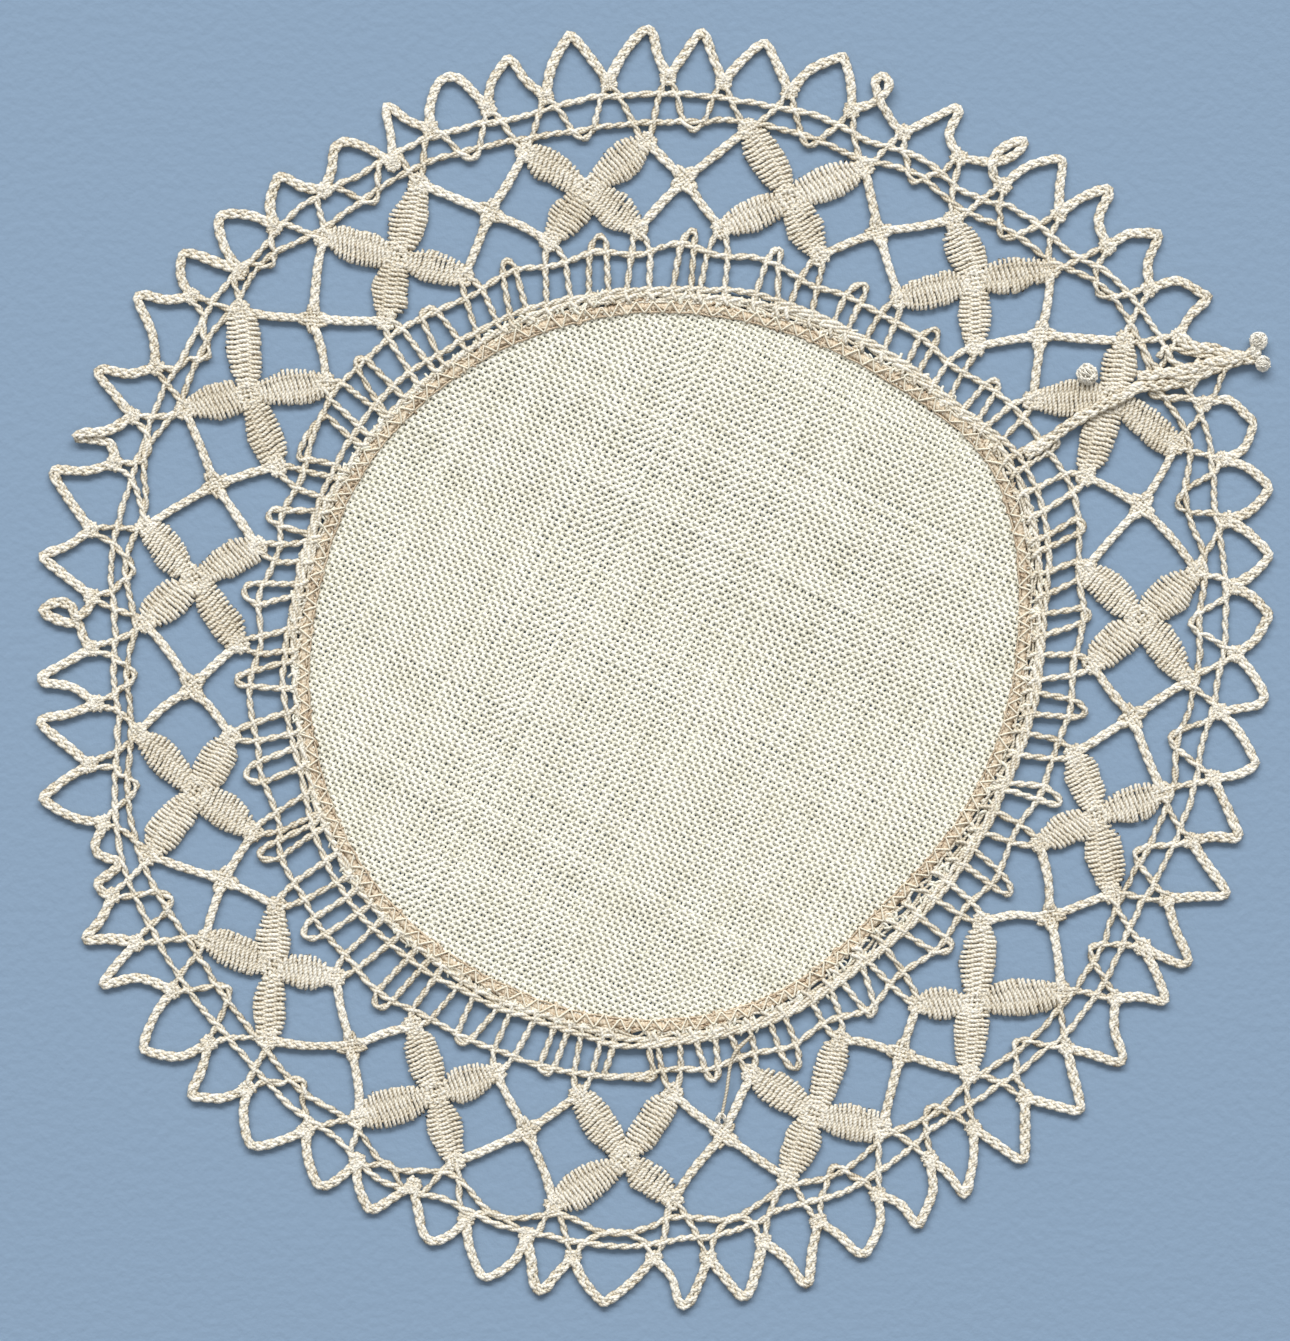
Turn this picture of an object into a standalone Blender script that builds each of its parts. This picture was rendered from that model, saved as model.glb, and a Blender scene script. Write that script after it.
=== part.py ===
"""Round linen mat with a one-piece bobbin-lace edging, lying flat, underside on Z = 0.

The linen disc ends in a narrow raised hem. Around it lies the lace: a ladder of threads at its
foot, fifteen four-leaved flowers joined by crossing plaits, a double trail and sixty plaited
loops at the rim. The ring was pulled round by hand and joined at its right side, so no two
repeats are quite alike. The tables below give each repeat as it lies.

Angles are in degrees, clockwise from the mat's far edge (+Y), seen from above. Lengths are in
millimetres, from the middle of the linen, and become metres when the meshes are made.
"""

import math
from collections import namedtuple

import bmesh
import bpy
from mathutils import Vector

MM = 0.001

CLOTH_THICKNESS = 1.0
HEM_THICKNESS = 1.5
HEM_WIDTH = 1.8
HEM_SLOPE = 0.5
LACE_THICKNESS = 1.2
PIECE_GAP = 0.3
NOMINAL_SEAM = 42.5
DISC_STEPS = 96

PLAIT_HALF = 0.55
PAIR_HALF = 0.38
FOOT_LINE = 2.75
LADDER_LINE = 6.3
OUTER_TRAIL = 3.0
LEAF_BULGE = 1.45
LEAF_SHOULDERS = (0.3, 0.72)
LOOP_SIDE = 0.55
LOOP_BULGE = 0.5
LOOP_TIP_HALF = 0.6

LINEN_COLOUR = (0.83, 0.81, 0.70, 1.0)
LACE_COLOUR = (0.73, 0.62, 0.46, 1.0)
CLOTH_ROUGHNESS = 0.9

# One row for each repeat. A leaf is (turn from straight outwards, reach from the flower's
# middle), in the order outer left, outer right, inner right, inner left. Nodes and tips are
# (angle, radius): four knots of the rim, and the loop tip after each. Pins are the radii of the
# little turning loops: two at the trail, two at the ladder. Seam is the visible linen's radius.
Repeat = namedtuple("Repeat", "flower leaves crossing nodes tips pins seam")
REPEATS = (
    Repeat((-8.9, 58.1), ((-49.6, 8.7), (60.4, 9.1), (137.0, 7.8), (-135.5, 7.8)), (2.6, 58.6),
           ((-17.3, 70.3), (-11.5, 69.9), (-5.2, 70.5), (0.6, 70.8)),
           ((-14.2, 75.4), (-8.3, 76.6), (-1.4, 76.6), (3.6, 76.4)), (64.4, 64.9, 52.4, 52.6), 42.7),
    Repeat((15.3, 58.3), ((-45.9, 9.9), (51.3, 9.7), (137.0, 7.7), (-128.8, 9.0)), (26.4, 58.4),
           ((6.0, 70.7), (12.5, 70.8), (18.8, 70.7), (24.3, 70.4)),
           ((9.3, 76.0), (16.4, 76.5), (20.5, 75.4), (27.8, 76.0)), (65.3, 65.9, 52.2, 52.0), 42.8),
    Repeat((39.0, 59.7), ((-58.8, 7.8), (41.9, 9.1), (141.0, 7.9), (-142.5, 9.3)), (48.7, 60.5),
           ((30.2, 70.8), (35.3, 70.8), (41.2, 72.4), (46.6, 73.5)),
           ((34.2, 75.9), (38.0, 77.5), (43.0, 78.5), (48.8, 79.0)), (66.1, 69.2, 52.2, 52.9), 43.9),
    Repeat((59.0, 62.9), ((-46.2, 7.0), (66.9, 9.6), (139.4, 9.9), (-151.2, 9.5)), (71.3, 60.7),
           ((52.1, 74.1), (57.3, 73.6), (64.0, 72.2), (69.6, 71.7)),
           ((55.7, 79.2), (61.2, 78.0), (67.4, 76.8), (73.4, 75.9)), (67.5, 65.1, 54.5, 53.4), 46.1),
    Repeat((84.2, 57.8), ((-35.3, 8.8), (57.6, 9.3), (143.2, 8.0), (-132.4, 9.0)), (96.0, 56.7),
           ((75.3, 70.0), (81.9, 69.0), (88.6, 68.8), (94.5, 67.2)),
           ((79.4, 74.0), (85.0, 73.1), (92.8, 72.3), (99.1, 72.1)), (63.9, 61.8, 51.6, 51.0), 43.0),
    Repeat((108.8, 55.1), ((-38.8, 8.4), (60.3, 9.5), (135.4, 7.7), (-129.2, 7.9)), (122.6, 55.4),
           ((101.3, 67.4), (108.1, 66.8), (114.6, 66.6), (120.1, 66.5)),
           ((106.2, 72.1), (111.8, 72.9), (119.2, 72.3), (123.4, 72.3)), (61.2, 61.7, 50.5, 49.8), 40.6),
    Repeat((137.0, 54.9), ((-54.8, 10.5), (47.1, 8.5), (131.0, 6.8), (-131.3, 9.8)), (148.2, 54.4),
           ((126.1, 67.3), (133.2, 66.6), (139.8, 67.5), (145.9, 66.6)),
           ((130.5, 72.6), (136.6, 73.0), (143.7, 73.2), (150.0, 72.9)), (62.0, 61.9, 48.3, 48.7), 38.9),
    Repeat((161.3, 56.6), ((-60.6, 8.4), (41.1, 8.2), (142.2, 8.9), (-141.5, 9.6)), (172.5, 56.4),
           ((151.4, 67.0), (157.7, 68.2), (164.2, 69.0), (170.0, 69.8)),
           ((155.2, 73.6), (160.9, 74.3), (166.8, 75.9), (172.5, 76.1)), (63.5, 66.0, 50.7, 49.8), 41.4),
    Repeat((184.3, 59.2), ((-54.5, 7.5), (53.9, 10.0), (140.4, 9.6), (-148.7, 9.9)), (196.3, 57.9),
           ((175.5, 71.0), (180.8, 70.8), (188.6, 71.5), (193.4, 69.9)),
           ((178.0, 76.5), (185.2, 76.4), (191.2, 76.0), (196.2, 76.1)), (67.4, 67.6, 49.3, 50.6), 42.3),
    Repeat((208.1, 57.8), ((-44.3, 8.6), (43.5, 9.5), (133.7, 8.5), (-136.3, 7.7)), (219.4, 58.7),
           ((199.6, 70.1), (205.7, 68.9), (211.7, 69.5), (217.6, 70.0)),
           ((202.2, 74.1), (208.4, 73.8), (213.6, 74.4), (220.8, 75.5)), (66.6, 65.9, 51.0, 53.1), 42.5),
    Repeat((232.5, 58.9), ((-49.3, 8.8), (59.5, 8.7), (131.3, 7.3), (-133.4, 7.7)), (244.2, 58.4),
           ((224.6, 70.9), (230.4, 70.6), (236.6, 70.3), (242.4, 71.1)),
           ((227.7, 76.2), (233.6, 77.2), (240.5, 77.2), (244.8, 76.5)), (64.9, 65.3, 53.6, 53.3), 43.1),
    Repeat((255.2, 57.8), ((-38.9, 9.5), (59.8, 9.8), (137.3, 7.8), (-129.9, 8.5)), (267.7, 56.4),
           ((247.5, 71.4), (254.5, 69.6), (260.4, 69.6), (266.4, 68.0)),
           ((250.8, 72.6), (258.0, 75.9), (265.0, 74.9), (269.0, 74.5)), (64.8, 63.5, 51.5, 51.1), 42.7),
    Repeat((280.7, 56.9), ((-50.8, 8.0), (35.7, 8.8), (140.5, 8.4), (-135.2, 9.3)), (292.3, 57.9),
           ((272.0, 68.4), (277.1, 68.9), (283.6, 70.5), (290.5, 70.1)),
           ((275.3, 74.4), (280.2, 75.5), (287.8, 76.7), (291.4, 75.4)), (64.7, 66.4, 51.0, 50.7), 42.2),
    Repeat((303.5, 59.6), ((-47.8, 7.8), (51.7, 10.0), (138.5, 9.5), (-145.8, 9.5)), (315.0, 59.2),
           ((295.4, 70.4), (300.7, 70.6), (308.3, 71.9), (313.3, 69.5)),
           ((297.8, 76.5), (305.3, 77.0), (310.9, 75.9), (315.6, 75.7)), (66.3, 67.5, 50.8, 52.0), 42.8),
    Repeat((327.2, 58.7), ((-42.6, 9.1), (49.6, 9.2), (139.4, 8.4), (-136.6, 7.8)), (339.3, 58.4),
           ((318.7, 70.4), (324.7, 70.2), (331.9, 68.6), (336.7, 70.4)),
           ((321.9, 74.7), (328.6, 73.8), (333.9, 75.1), (339.9, 75.4)), (65.9, 65.4, 51.5, 52.3), 42.8),
)
OUTER_LEFT, OUTER_RIGHT, INNER_RIGHT, INNER_LEFT = range(4)

# Where the ring was joined, its thread ends leave the rim in a bundle with two knotted tufts.
# Each row is (angle, radius) of the bundle's edge, and it takes the place of one rim loop.
JOIN_REPEAT = 3
JOIN_LOOP = 1
JOIN_BUNDLE = ((59.9, 76.2), (60.4, 81.8), (61.9, 81.9), (63.5, 81.2), (62.6, 76.3))


def polar(angle, radius):
    """The point at a clock angle and a radius, seen from above."""
    turn = math.radians(angle)
    return Vector((radius * math.sin(turn), radius * math.cos(turn)))


def clock(point):
    """The clock angle and the radius of a point."""
    return math.degrees(math.atan2(point.x, point.y)) % 360.0, point.length


def between(start, end, share=0.5):
    """The clock angle a share of the way clockwise from start to end."""
    return start + ((end - start) % 360.0) * share


def around(angle, stations):
    """A smooth value at an angle, read from (angle, value) stations that go round once."""
    count = len(stations)
    for index, (start, value) in enumerate(stations):
        end, next_value = stations[(index + 1) % count]
        span = (end - start) % 360.0
        past = (angle - start) % 360.0
        if past < span:
            break
    before, value_before = stations[index - 1]
    after, value_after = stations[(index + 2) % count]
    slope = (next_value - value_before) / ((end - before) % 360.0)
    next_slope = (value_after - value) / ((after - start) % 360.0)
    share = past / span
    ease = share * share * (3.0 - 2.0 * share)
    rise = share * (1.0 - share) ** 2 * span * slope
    fall = share * share * (share - 1.0) * span * next_slope
    return value + (next_value - value) * ease + rise + fall


def seam_radius(angle):
    """Radius of the visible linen, where the seam starts."""
    return around(angle, [(row.flower[0] % 360.0, row.seam) for row in REPEATS])


def rim_radius(angle):
    """Radius of the line through the rim's knots."""
    knots = [(knot % 360.0, radius) for row in REPEATS for knot, radius in row.nodes]
    return around(angle, knots)


def flower_middle(index):
    """Middle of a flower."""
    return polar(*REPEATS[index % len(REPEATS)].flower)


def leaf_tip(index, leaf):
    """Tip of one leaf of a flower."""
    row = REPEATS[index % len(REPEATS)]
    turn, reach = row.leaves[leaf]
    return flower_middle(index) + polar(row.flower[0] + turn, reach)


def leaf_side(index, leaf, side):
    """The leaf's edge from the flower's middle to its tip; side is 1 for its clockwise side."""
    middle = flower_middle(index)
    along = leaf_tip(index, leaf) - middle
    across = Vector((along.y, -along.x)).normalized() * (side * LEAF_BULGE)
    shoulders = [middle + along * share + across for share in LEAF_SHOULDERS]
    return [middle, *shoulders, middle + along]


def edge_node(count):
    """The knot with this number, counted round the whole rim."""
    row = REPEATS[(count // 4) % len(REPEATS)]
    return row.nodes[count % 4]


def rim_loop(count):
    """Middle line of the rim loop after a knot, from knot to knot, without the last knot."""
    row = REPEATS[(count // 4) % len(REPEATS)]
    start = polar(*edge_node(count))
    end = polar(*edge_node(count + 1))
    tip_angle, tip_radius = row.tips[count % 4]
    tip = polar(tip_angle, tip_radius)
    sideways = (end - start).normalized()
    tip_start = tip - sideways * LOOP_TIP_HALF
    tip_end = tip + sideways * LOOP_TIP_HALF
    side_start = start.lerp(tip_start, LOOP_SIDE) - sideways * LOOP_BULGE
    side_end = end.lerp(tip_end, LOOP_SIDE) + sideways * LOOP_BULGE
    return [start, side_start, tip_start, tip_end, side_end]


def offset_ring(corners, margins):
    """Moves each side of a ring inwards by its own margin, outwards if it is negative.

    The margin with a corner's number is that of the side which starts there.
    """
    count = len(corners)
    area = sum(corners[k].cross(corners[(k + 1) % count]) for k in range(count))
    inward = 1.0 if area > 0 else -1.0
    sides = []
    for k in range(count):
        start = corners[k]
        along = (corners[(k + 1) % count] - start).normalized()
        shift = Vector((-along.y, along.x)) * (inward * margins[k])
        sides.append((start + shift, along))
    moved = []
    for k in range(count):
        before, before_along = sides[k - 1]
        after, after_along = sides[k]
        turn = before_along.cross(after_along)
        if abs(turn) < 0.05:
            moved.append(after)
        else:
            reach = (after - before).cross(after_along) / turn
            moved.append(before + before_along * reach)
    return moved


def ladder_apexes():
    """Clock angles of the sixty points where the ladder's threads meet in pairs."""
    angles = []
    for index in range(len(REPEATS)):
        left = clock(leaf_tip(index, INNER_LEFT))[0]
        right = clock(leaf_tip(index, INNER_RIGHT))[0]
        next_left = clock(leaf_tip(index + 1, INNER_LEFT))[0]
        angles += [left, between(left, right), right, between(right, next_left)]
    return angles


def ladder_feet(apexes):
    """For each apex, the clock angles where its two threads cross the ladder line."""
    feet = []
    count = len(apexes)
    for k in range(count):
        left = between(apexes[k - 1], apexes[k], 0.75)
        right = between(apexes[k], apexes[(k + 1) % count], 0.25)
        feet.append((left, right))
    return feet


def ladder_point(angle):
    """Point on the outer line of the ladder."""
    return polar(angle, seam_radius(angle) + LADDER_LINE)


def foot_point(angle):
    """Point on the line that is sewn to the hem."""
    return polar(angle, seam_radius(angle) + FOOT_LINE)


def inner_windows(index, apexes, feet):
    """The window between a flower's inner leaves, and the one under the crossing after it."""
    row = REPEATS[index]
    base = 4 * index
    last = (base + 4) % len(apexes)
    flower_pin = polar(apexes[base + 1], row.pins[2])
    crossing_pin = polar(apexes[base + 3], row.pins[3])
    left_leaf = leaf_side(index, INNER_LEFT, -1)
    right_leaf = leaf_side(index, INNER_RIGHT, 1)
    under_flower = [
        *left_leaf,
        ladder_point(feet[base][1]), ladder_point(feet[base + 1][0]), flower_pin,
        ladder_point(feet[base + 1][1]), ladder_point(feet[base + 2][0]),
        *right_leaf[:0:-1],
    ]
    flower_margins = [PLAIT_HALF] * 3 + [PAIR_HALF] * 6 + [PLAIT_HALF] * 3
    under_crossing = [
        polar(*row.crossing), leaf_tip(index, INNER_RIGHT),
        ladder_point(feet[base + 2][1]), ladder_point(feet[base + 3][0]), crossing_pin,
        ladder_point(feet[base + 3][1]), ladder_point(feet[last][0]),
        leaf_tip(index + 1, INNER_LEFT),
    ]
    crossing_margins = [PLAIT_HALF] + [PAIR_HALF] * 6 + [PLAIT_HALF]
    return [
        offset_ring(under_flower, flower_margins),
        offset_ring(under_crossing, crossing_margins),
    ]


def outer_windows(index):
    """The window between a flower's outer leaves, and the one over the crossing after it."""
    row = REPEATS[index]
    flower_pin = polar(between(row.nodes[1][0], row.nodes[2][0]), row.pins[0])
    next_node = edge_node(4 * index + 4)[0]
    crossing_pin = polar(between(row.nodes[3][0], next_node), row.pins[1])
    over_flower = [
        *leaf_side(index, OUTER_LEFT, 1), flower_pin,
        *leaf_side(index, OUTER_RIGHT, -1)[:0:-1],
    ]
    flower_margins = [PLAIT_HALF] * 3 + [PAIR_HALF] * 2 + [PLAIT_HALF] * 3
    over_crossing = [
        polar(*row.crossing), leaf_tip(index, OUTER_RIGHT), crossing_pin,
        leaf_tip(index + 1, OUTER_LEFT),
    ]
    crossing_margins = [PLAIT_HALF, PAIR_HALF, PAIR_HALF, PLAIT_HALF]
    return [
        offset_ring(over_flower, flower_margins),
        offset_ring(over_crossing, crossing_margins),
    ]


def side_windows(index):
    """The two windows beside a crossing, one against each neighbouring flower."""
    crossing = polar(*REPEATS[index].crossing)
    before = [*leaf_side(index, OUTER_RIGHT, 1), crossing, *leaf_side(index, INNER_RIGHT, -1)[:0:-1]]
    after = [
        *leaf_side(index + 1, OUTER_LEFT, -1), crossing,
        *leaf_side(index + 1, INNER_LEFT, 1)[:0:-1],
    ]
    return [offset_ring(ring, [PLAIT_HALF] * len(ring)) for ring in (before, after)]


def rim_hole(count):
    """The hole inside a rim loop, down to the outer thread of the trail."""
    start_angle = edge_node(count)[0]
    end_angle = edge_node(count + 1)[0]
    trail = []
    for share in (0.75, 0.25):
        angle = between(start_angle, end_angle, share)
        trail.append(polar(angle, rim_radius(angle) - OUTER_TRAIL))
    ring = [*rim_loop(count), polar(*edge_node(count + 1)), *trail]
    margins = [PLAIT_HALF] * 5 + [PAIR_HALF] * 3
    return offset_ring(ring, margins)


def ladder_holes(feet):
    """The gaps between the ladder's threads, from the sewn line to the ladder line."""
    angles = [angle for pair in feet for angle in pair]
    holes = []
    for k, angle in enumerate(angles):
        following = angles[(k + 1) % len(angles)]
        ring = [foot_point(angle), ladder_point(angle), ladder_point(following), foot_point(following)]
        holes.append(offset_ring(ring, [PAIR_HALF] * 4))
    return holes


def is_join(count):
    """Whether the rim loop with this number is the one that the join's bundle replaces."""
    return count == 4 * JOIN_REPEAT + JOIN_LOOP


def lace_outline():
    """The lace's scalloped outer edge."""
    ring = []
    for count in range(4 * len(REPEATS)):
        if is_join(count):
            ring.append(polar(*edge_node(count)))
            ring += [polar(*row) for row in JOIN_BUNDLE]
        else:
            ring += rim_loop(count)
    return offset_ring(ring, [-PLAIT_HALF] * len(ring))


def lace_rings():
    """The outline, the round inner edge and every hole of the lace."""
    apexes = ladder_apexes()
    feet = ladder_feet(apexes)
    inner_gap = HEM_WIDTH + PIECE_GAP
    steps = [360.0 * k / DISC_STEPS for k in range(DISC_STEPS)]
    rings = [lace_outline(), [polar(angle, seam_radius(angle) + inner_gap) for angle in steps]]
    for index in range(len(REPEATS)):
        rings += inner_windows(index, apexes, feet)
        rings += outer_windows(index)
        rings += side_windows(index)
    rings += [rim_hole(count) for count in range(4 * len(REPEATS)) if not is_join(count)]
    return rings + ladder_holes(feet)


def material(name, colour):
    """A plain matt thread colour."""
    made = bpy.data.materials.new(name)
    made.use_nodes = True
    shader = made.node_tree.nodes["Principled BSDF"]
    shader.inputs["Base Color"].default_value = colour
    shader.inputs["Roughness"].default_value = CLOTH_ROUGHNESS
    shader.inputs["Metallic"].default_value = 0.0
    return made


def solid_from(source, name, collection, finish):
    """Turns a curve or modified object into a welded mesh object in metres, and removes it."""
    graph = bpy.context.evaluated_depsgraph_get()
    mesh = bpy.data.meshes.new_from_object(source.evaluated_get(graph))
    bpy.data.objects.remove(source)
    welder = bmesh.new()
    welder.from_mesh(mesh)
    bmesh.ops.remove_doubles(welder, verts=welder.verts, dist=1e-4)
    bmesh.ops.recalc_face_normals(welder, faces=welder.faces)
    bmesh.ops.scale(welder, vec=(MM, MM, MM), verts=welder.verts)
    welder.to_mesh(mesh)
    welder.free()
    mesh.name = name
    mesh.materials.clear()
    mesh.materials.append(finish)
    made = bpy.data.objects.new(name, mesh)
    collection.objects.link(made)
    return made


def make_lace(collection):
    """The whole edging, cut from one flat sheet of its thickness."""
    curve = bpy.data.curves.new("lace_outline", "CURVE")
    curve.dimensions = "2D"
    curve.fill_mode = "BOTH"
    curve.extrude = LACE_THICKNESS / 2
    for ring in lace_rings():
        spline = curve.splines.new("POLY")
        spline.points.add(len(ring) - 1)
        for point, corner in zip(spline.points, ring):
            point.co = (corner.x, corner.y, 0.0, 1.0)
        spline.use_cyclic_u = True
    flat = bpy.data.objects.new("lace_outline", curve)
    collection.objects.link(flat)
    lace = solid_from(flat, "lace_border", collection, material("lace_thread", LACE_COLOUR))
    for vertex in lace.data.vertices:
        vertex.co.z += LACE_THICKNESS / 2 * MM
    return lace


def make_linen(collection):
    """The linen disc with its raised hem: a turned section, drawn out to the seam's uneven line."""
    edge = NOMINAL_SEAM + HEM_WIDTH
    crown = edge - HEM_SLOPE
    profile = (
        (0.0, CLOTH_THICKNESS),
        (NOMINAL_SEAM / 2, CLOTH_THICKNESS),
        (NOMINAL_SEAM - HEM_SLOPE, CLOTH_THICKNESS),
        (NOMINAL_SEAM + HEM_SLOPE, HEM_THICKNESS),
        (crown, HEM_THICKNESS),
        (edge, CLOTH_THICKNESS),
        (edge, 0.0),
        (0.0, 0.0),
    )
    mesh = bpy.data.meshes.new("linen_section")
    points = [(radius, 0.0, height) for radius, height in profile]
    mesh.from_pydata(points, [(k, k + 1) for k in range(len(points) - 1)], [])
    section = bpy.data.objects.new("linen_section", mesh)
    collection.objects.link(section)
    screw = section.modifiers.new("turn", "SCREW")
    screw.axis = "Z"
    screw.steps = DISC_STEPS
    screw.render_steps = DISC_STEPS
    screw.use_merge_vertices = True
    screw.merge_threshold = 0.0001
    linen = solid_from(section, "linen_centre", collection, material("linen_cloth", LINEN_COLOUR))
    for vertex in linen.data.vertices:
        angle, radius = clock(vertex.co.xy / MM)
        if radius > NOMINAL_SEAM - 1.0:
            radius += seam_radius(angle) - NOMINAL_SEAM
        else:
            radius *= seam_radius(angle) / NOMINAL_SEAM
        vertex.co.xy = polar(angle, radius) * MM
    return linen


def main():
    """Clears the scene and builds both pieces."""
    for old in list(bpy.data.objects):
        bpy.data.objects.remove(old)
    collection = bpy.data.collections.new("lace_mat")
    bpy.context.scene.collection.children.link(collection)
    make_linen(collection)
    make_lace(collection)


main()
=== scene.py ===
"""Looks of the round lace-edged linen mat: every thread of its cloth, its sewing and its lace.

The linen is woven thread by thread. The edging is plaited, twisted and woven around the same
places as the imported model's, and a zigzag seam joins the two. The mat lies flat as it was put
down, a little pulled out of round.

Angles are clock angles in degrees from +Y, seen from above. Lengths are in millimetres from the
middle of the linen, and become metres when a mesh is made.
"""

import math
from collections import namedtuple

import bpy
import numpy as np
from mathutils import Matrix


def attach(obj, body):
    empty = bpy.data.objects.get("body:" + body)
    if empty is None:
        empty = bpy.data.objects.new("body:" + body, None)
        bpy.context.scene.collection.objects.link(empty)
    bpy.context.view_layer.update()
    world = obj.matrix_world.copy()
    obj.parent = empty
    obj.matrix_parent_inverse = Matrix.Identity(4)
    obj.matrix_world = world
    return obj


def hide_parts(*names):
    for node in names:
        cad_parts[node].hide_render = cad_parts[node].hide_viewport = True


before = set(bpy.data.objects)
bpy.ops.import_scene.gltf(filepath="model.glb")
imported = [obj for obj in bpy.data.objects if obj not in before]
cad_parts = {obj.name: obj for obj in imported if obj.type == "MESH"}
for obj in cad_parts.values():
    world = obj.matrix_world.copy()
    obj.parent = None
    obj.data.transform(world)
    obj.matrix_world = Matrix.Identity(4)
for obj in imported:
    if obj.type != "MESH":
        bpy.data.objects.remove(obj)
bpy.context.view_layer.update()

MM = 0.001
BODY = "root"

# The camera looks straight down through a long lens. One pixel of the 1290 by 1341 picture is
# 0.12 mm on the table, and the picture's middle lies a little left of the linen's middle.
PIXEL_MM = 0.12
PICTURE_HEIGHT = 1341 * PIXEL_MM
PICTURE_MIDDLE = (-2.04, -0.3)
LENS = 180.0
SENSOR = 36.0

# Threads. A half is a thread's half width, a swing its reach from the middle line of its plait or
# pair, and a turn the length of one full turn.
THREAD_HALF = 0.245
UNEVEN = 0.2
# The height that scales how far a thread rises or dips, for its painted light on top and painted shade where it
# dips.
MARK_HEIGHT = 0.3
LACE_LEVEL = 0.50
PLAIT_TURN = 5.2
PLAIT_SWING = 0.38
PLAIT_HALF = 0.25
PLAIT_LIFT = 0.17
PLAIT_STEPS = 12
ARM_SWING = 0.33
PAIR_TURN = 3.1
PAIR_SWING = 0.195
PAIR_HALF = 0.25
PAIR_STEPS = 8
SPLAY_LENGTH = 1.2
FOOT_SPLAY = 0.3
CURVE_STEPS = 10
LACE_SIDES = 5
FINE_SIDES = 4

RUNG_FOOT = 1.35
TIP_LEG = 1.15
PIN_GAP = 0.75
PIN_DEEP = 0.3
# The trail's turns, as (repeat, first or second), where the pair only runs along the inner line.
FLAT_TURNS = ((7, 1), (8, 0), (8, 1), (9, 0), (12, 1))
TRAIL_SWAY = 0.08
TRAIL_SHARES = (0.0, 0.25, 0.5, 0.75)
TIP_SIDE = 0.4
FLAT_SHARE = 0.6
LADDER_STEPS = 150
PATCH_JITTER = 0.07
PATCH_WAVE = 0.15

# The way of an arch between its two legs, as (share of its height, share of its half width).
ARCH_SHAPE = ((0.45, -0.85), (0.85, -0.5), (1.0, 0.0), (0.85, 0.5), (0.45, 0.85))

LEAF_HALF = 2.03
LEAF_END_HALF = 0.9
LEAF_START = 1.0
LEAF_STOP = 0.6
LEAF_BELLY = 2.3
LEAF_PASS = 0.272
LEAF_NEAR = 0.22
LEAF_SLANT = 0.06
LEAF_RAGGED = 0.18
LEAF_WAVE = 0.17
LEAF_THREAD_HIGH = 0.17
LEAF_COLUMNS = (-0.64, 0.0, 0.64)

# One pass of a leaf's thread from side to side, as (across, over, under, onward) in shares of the
# leaf's half width, of its wave and of the step to the next pass. Over and under are the heights of
# every other pass.
LEAF_SIDE_WAY = ((1.0, 0.1, -0.2, 0.4), (0.88, 0.8, -0.6, 0.28), (0.62, 1.0, -1.0, 0.18), (0.34, 0.6, 0.4, 0.1))
LEAF_WAY = (
    *((-across, over, under, -onward) for across, over, under, onward in LEAF_SIDE_WAY),
    (0.0, -1.0, 1.0, 0.0),
    *LEAF_SIDE_WAY[::-1],
)

WARP_PITCH = 0.592
WEFT_PITCH = 0.546
WARP_HALF = 0.228
WEFT_HALF = 0.218
CLOTH_TURN = -27.4
CLOTH_LEVEL = 0.40
CLOTH_WAVE = 0.14
CLOTH_HIGH = 0.17
CLOTH_PILLOW = 0.24
HEM_REACH = 0.9
HEM_RISE = 0.08

STITCH_PITCH = 2.1
STITCH_HALF = 0.11
ROLL_WIDE = 1.2
ROLL_BITS = 900
FOOT_THREADS = 4
SEAM_MIDDLE = 43.9
STITCH_OUT = 1.35
RAW_ENDS = 640

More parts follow.
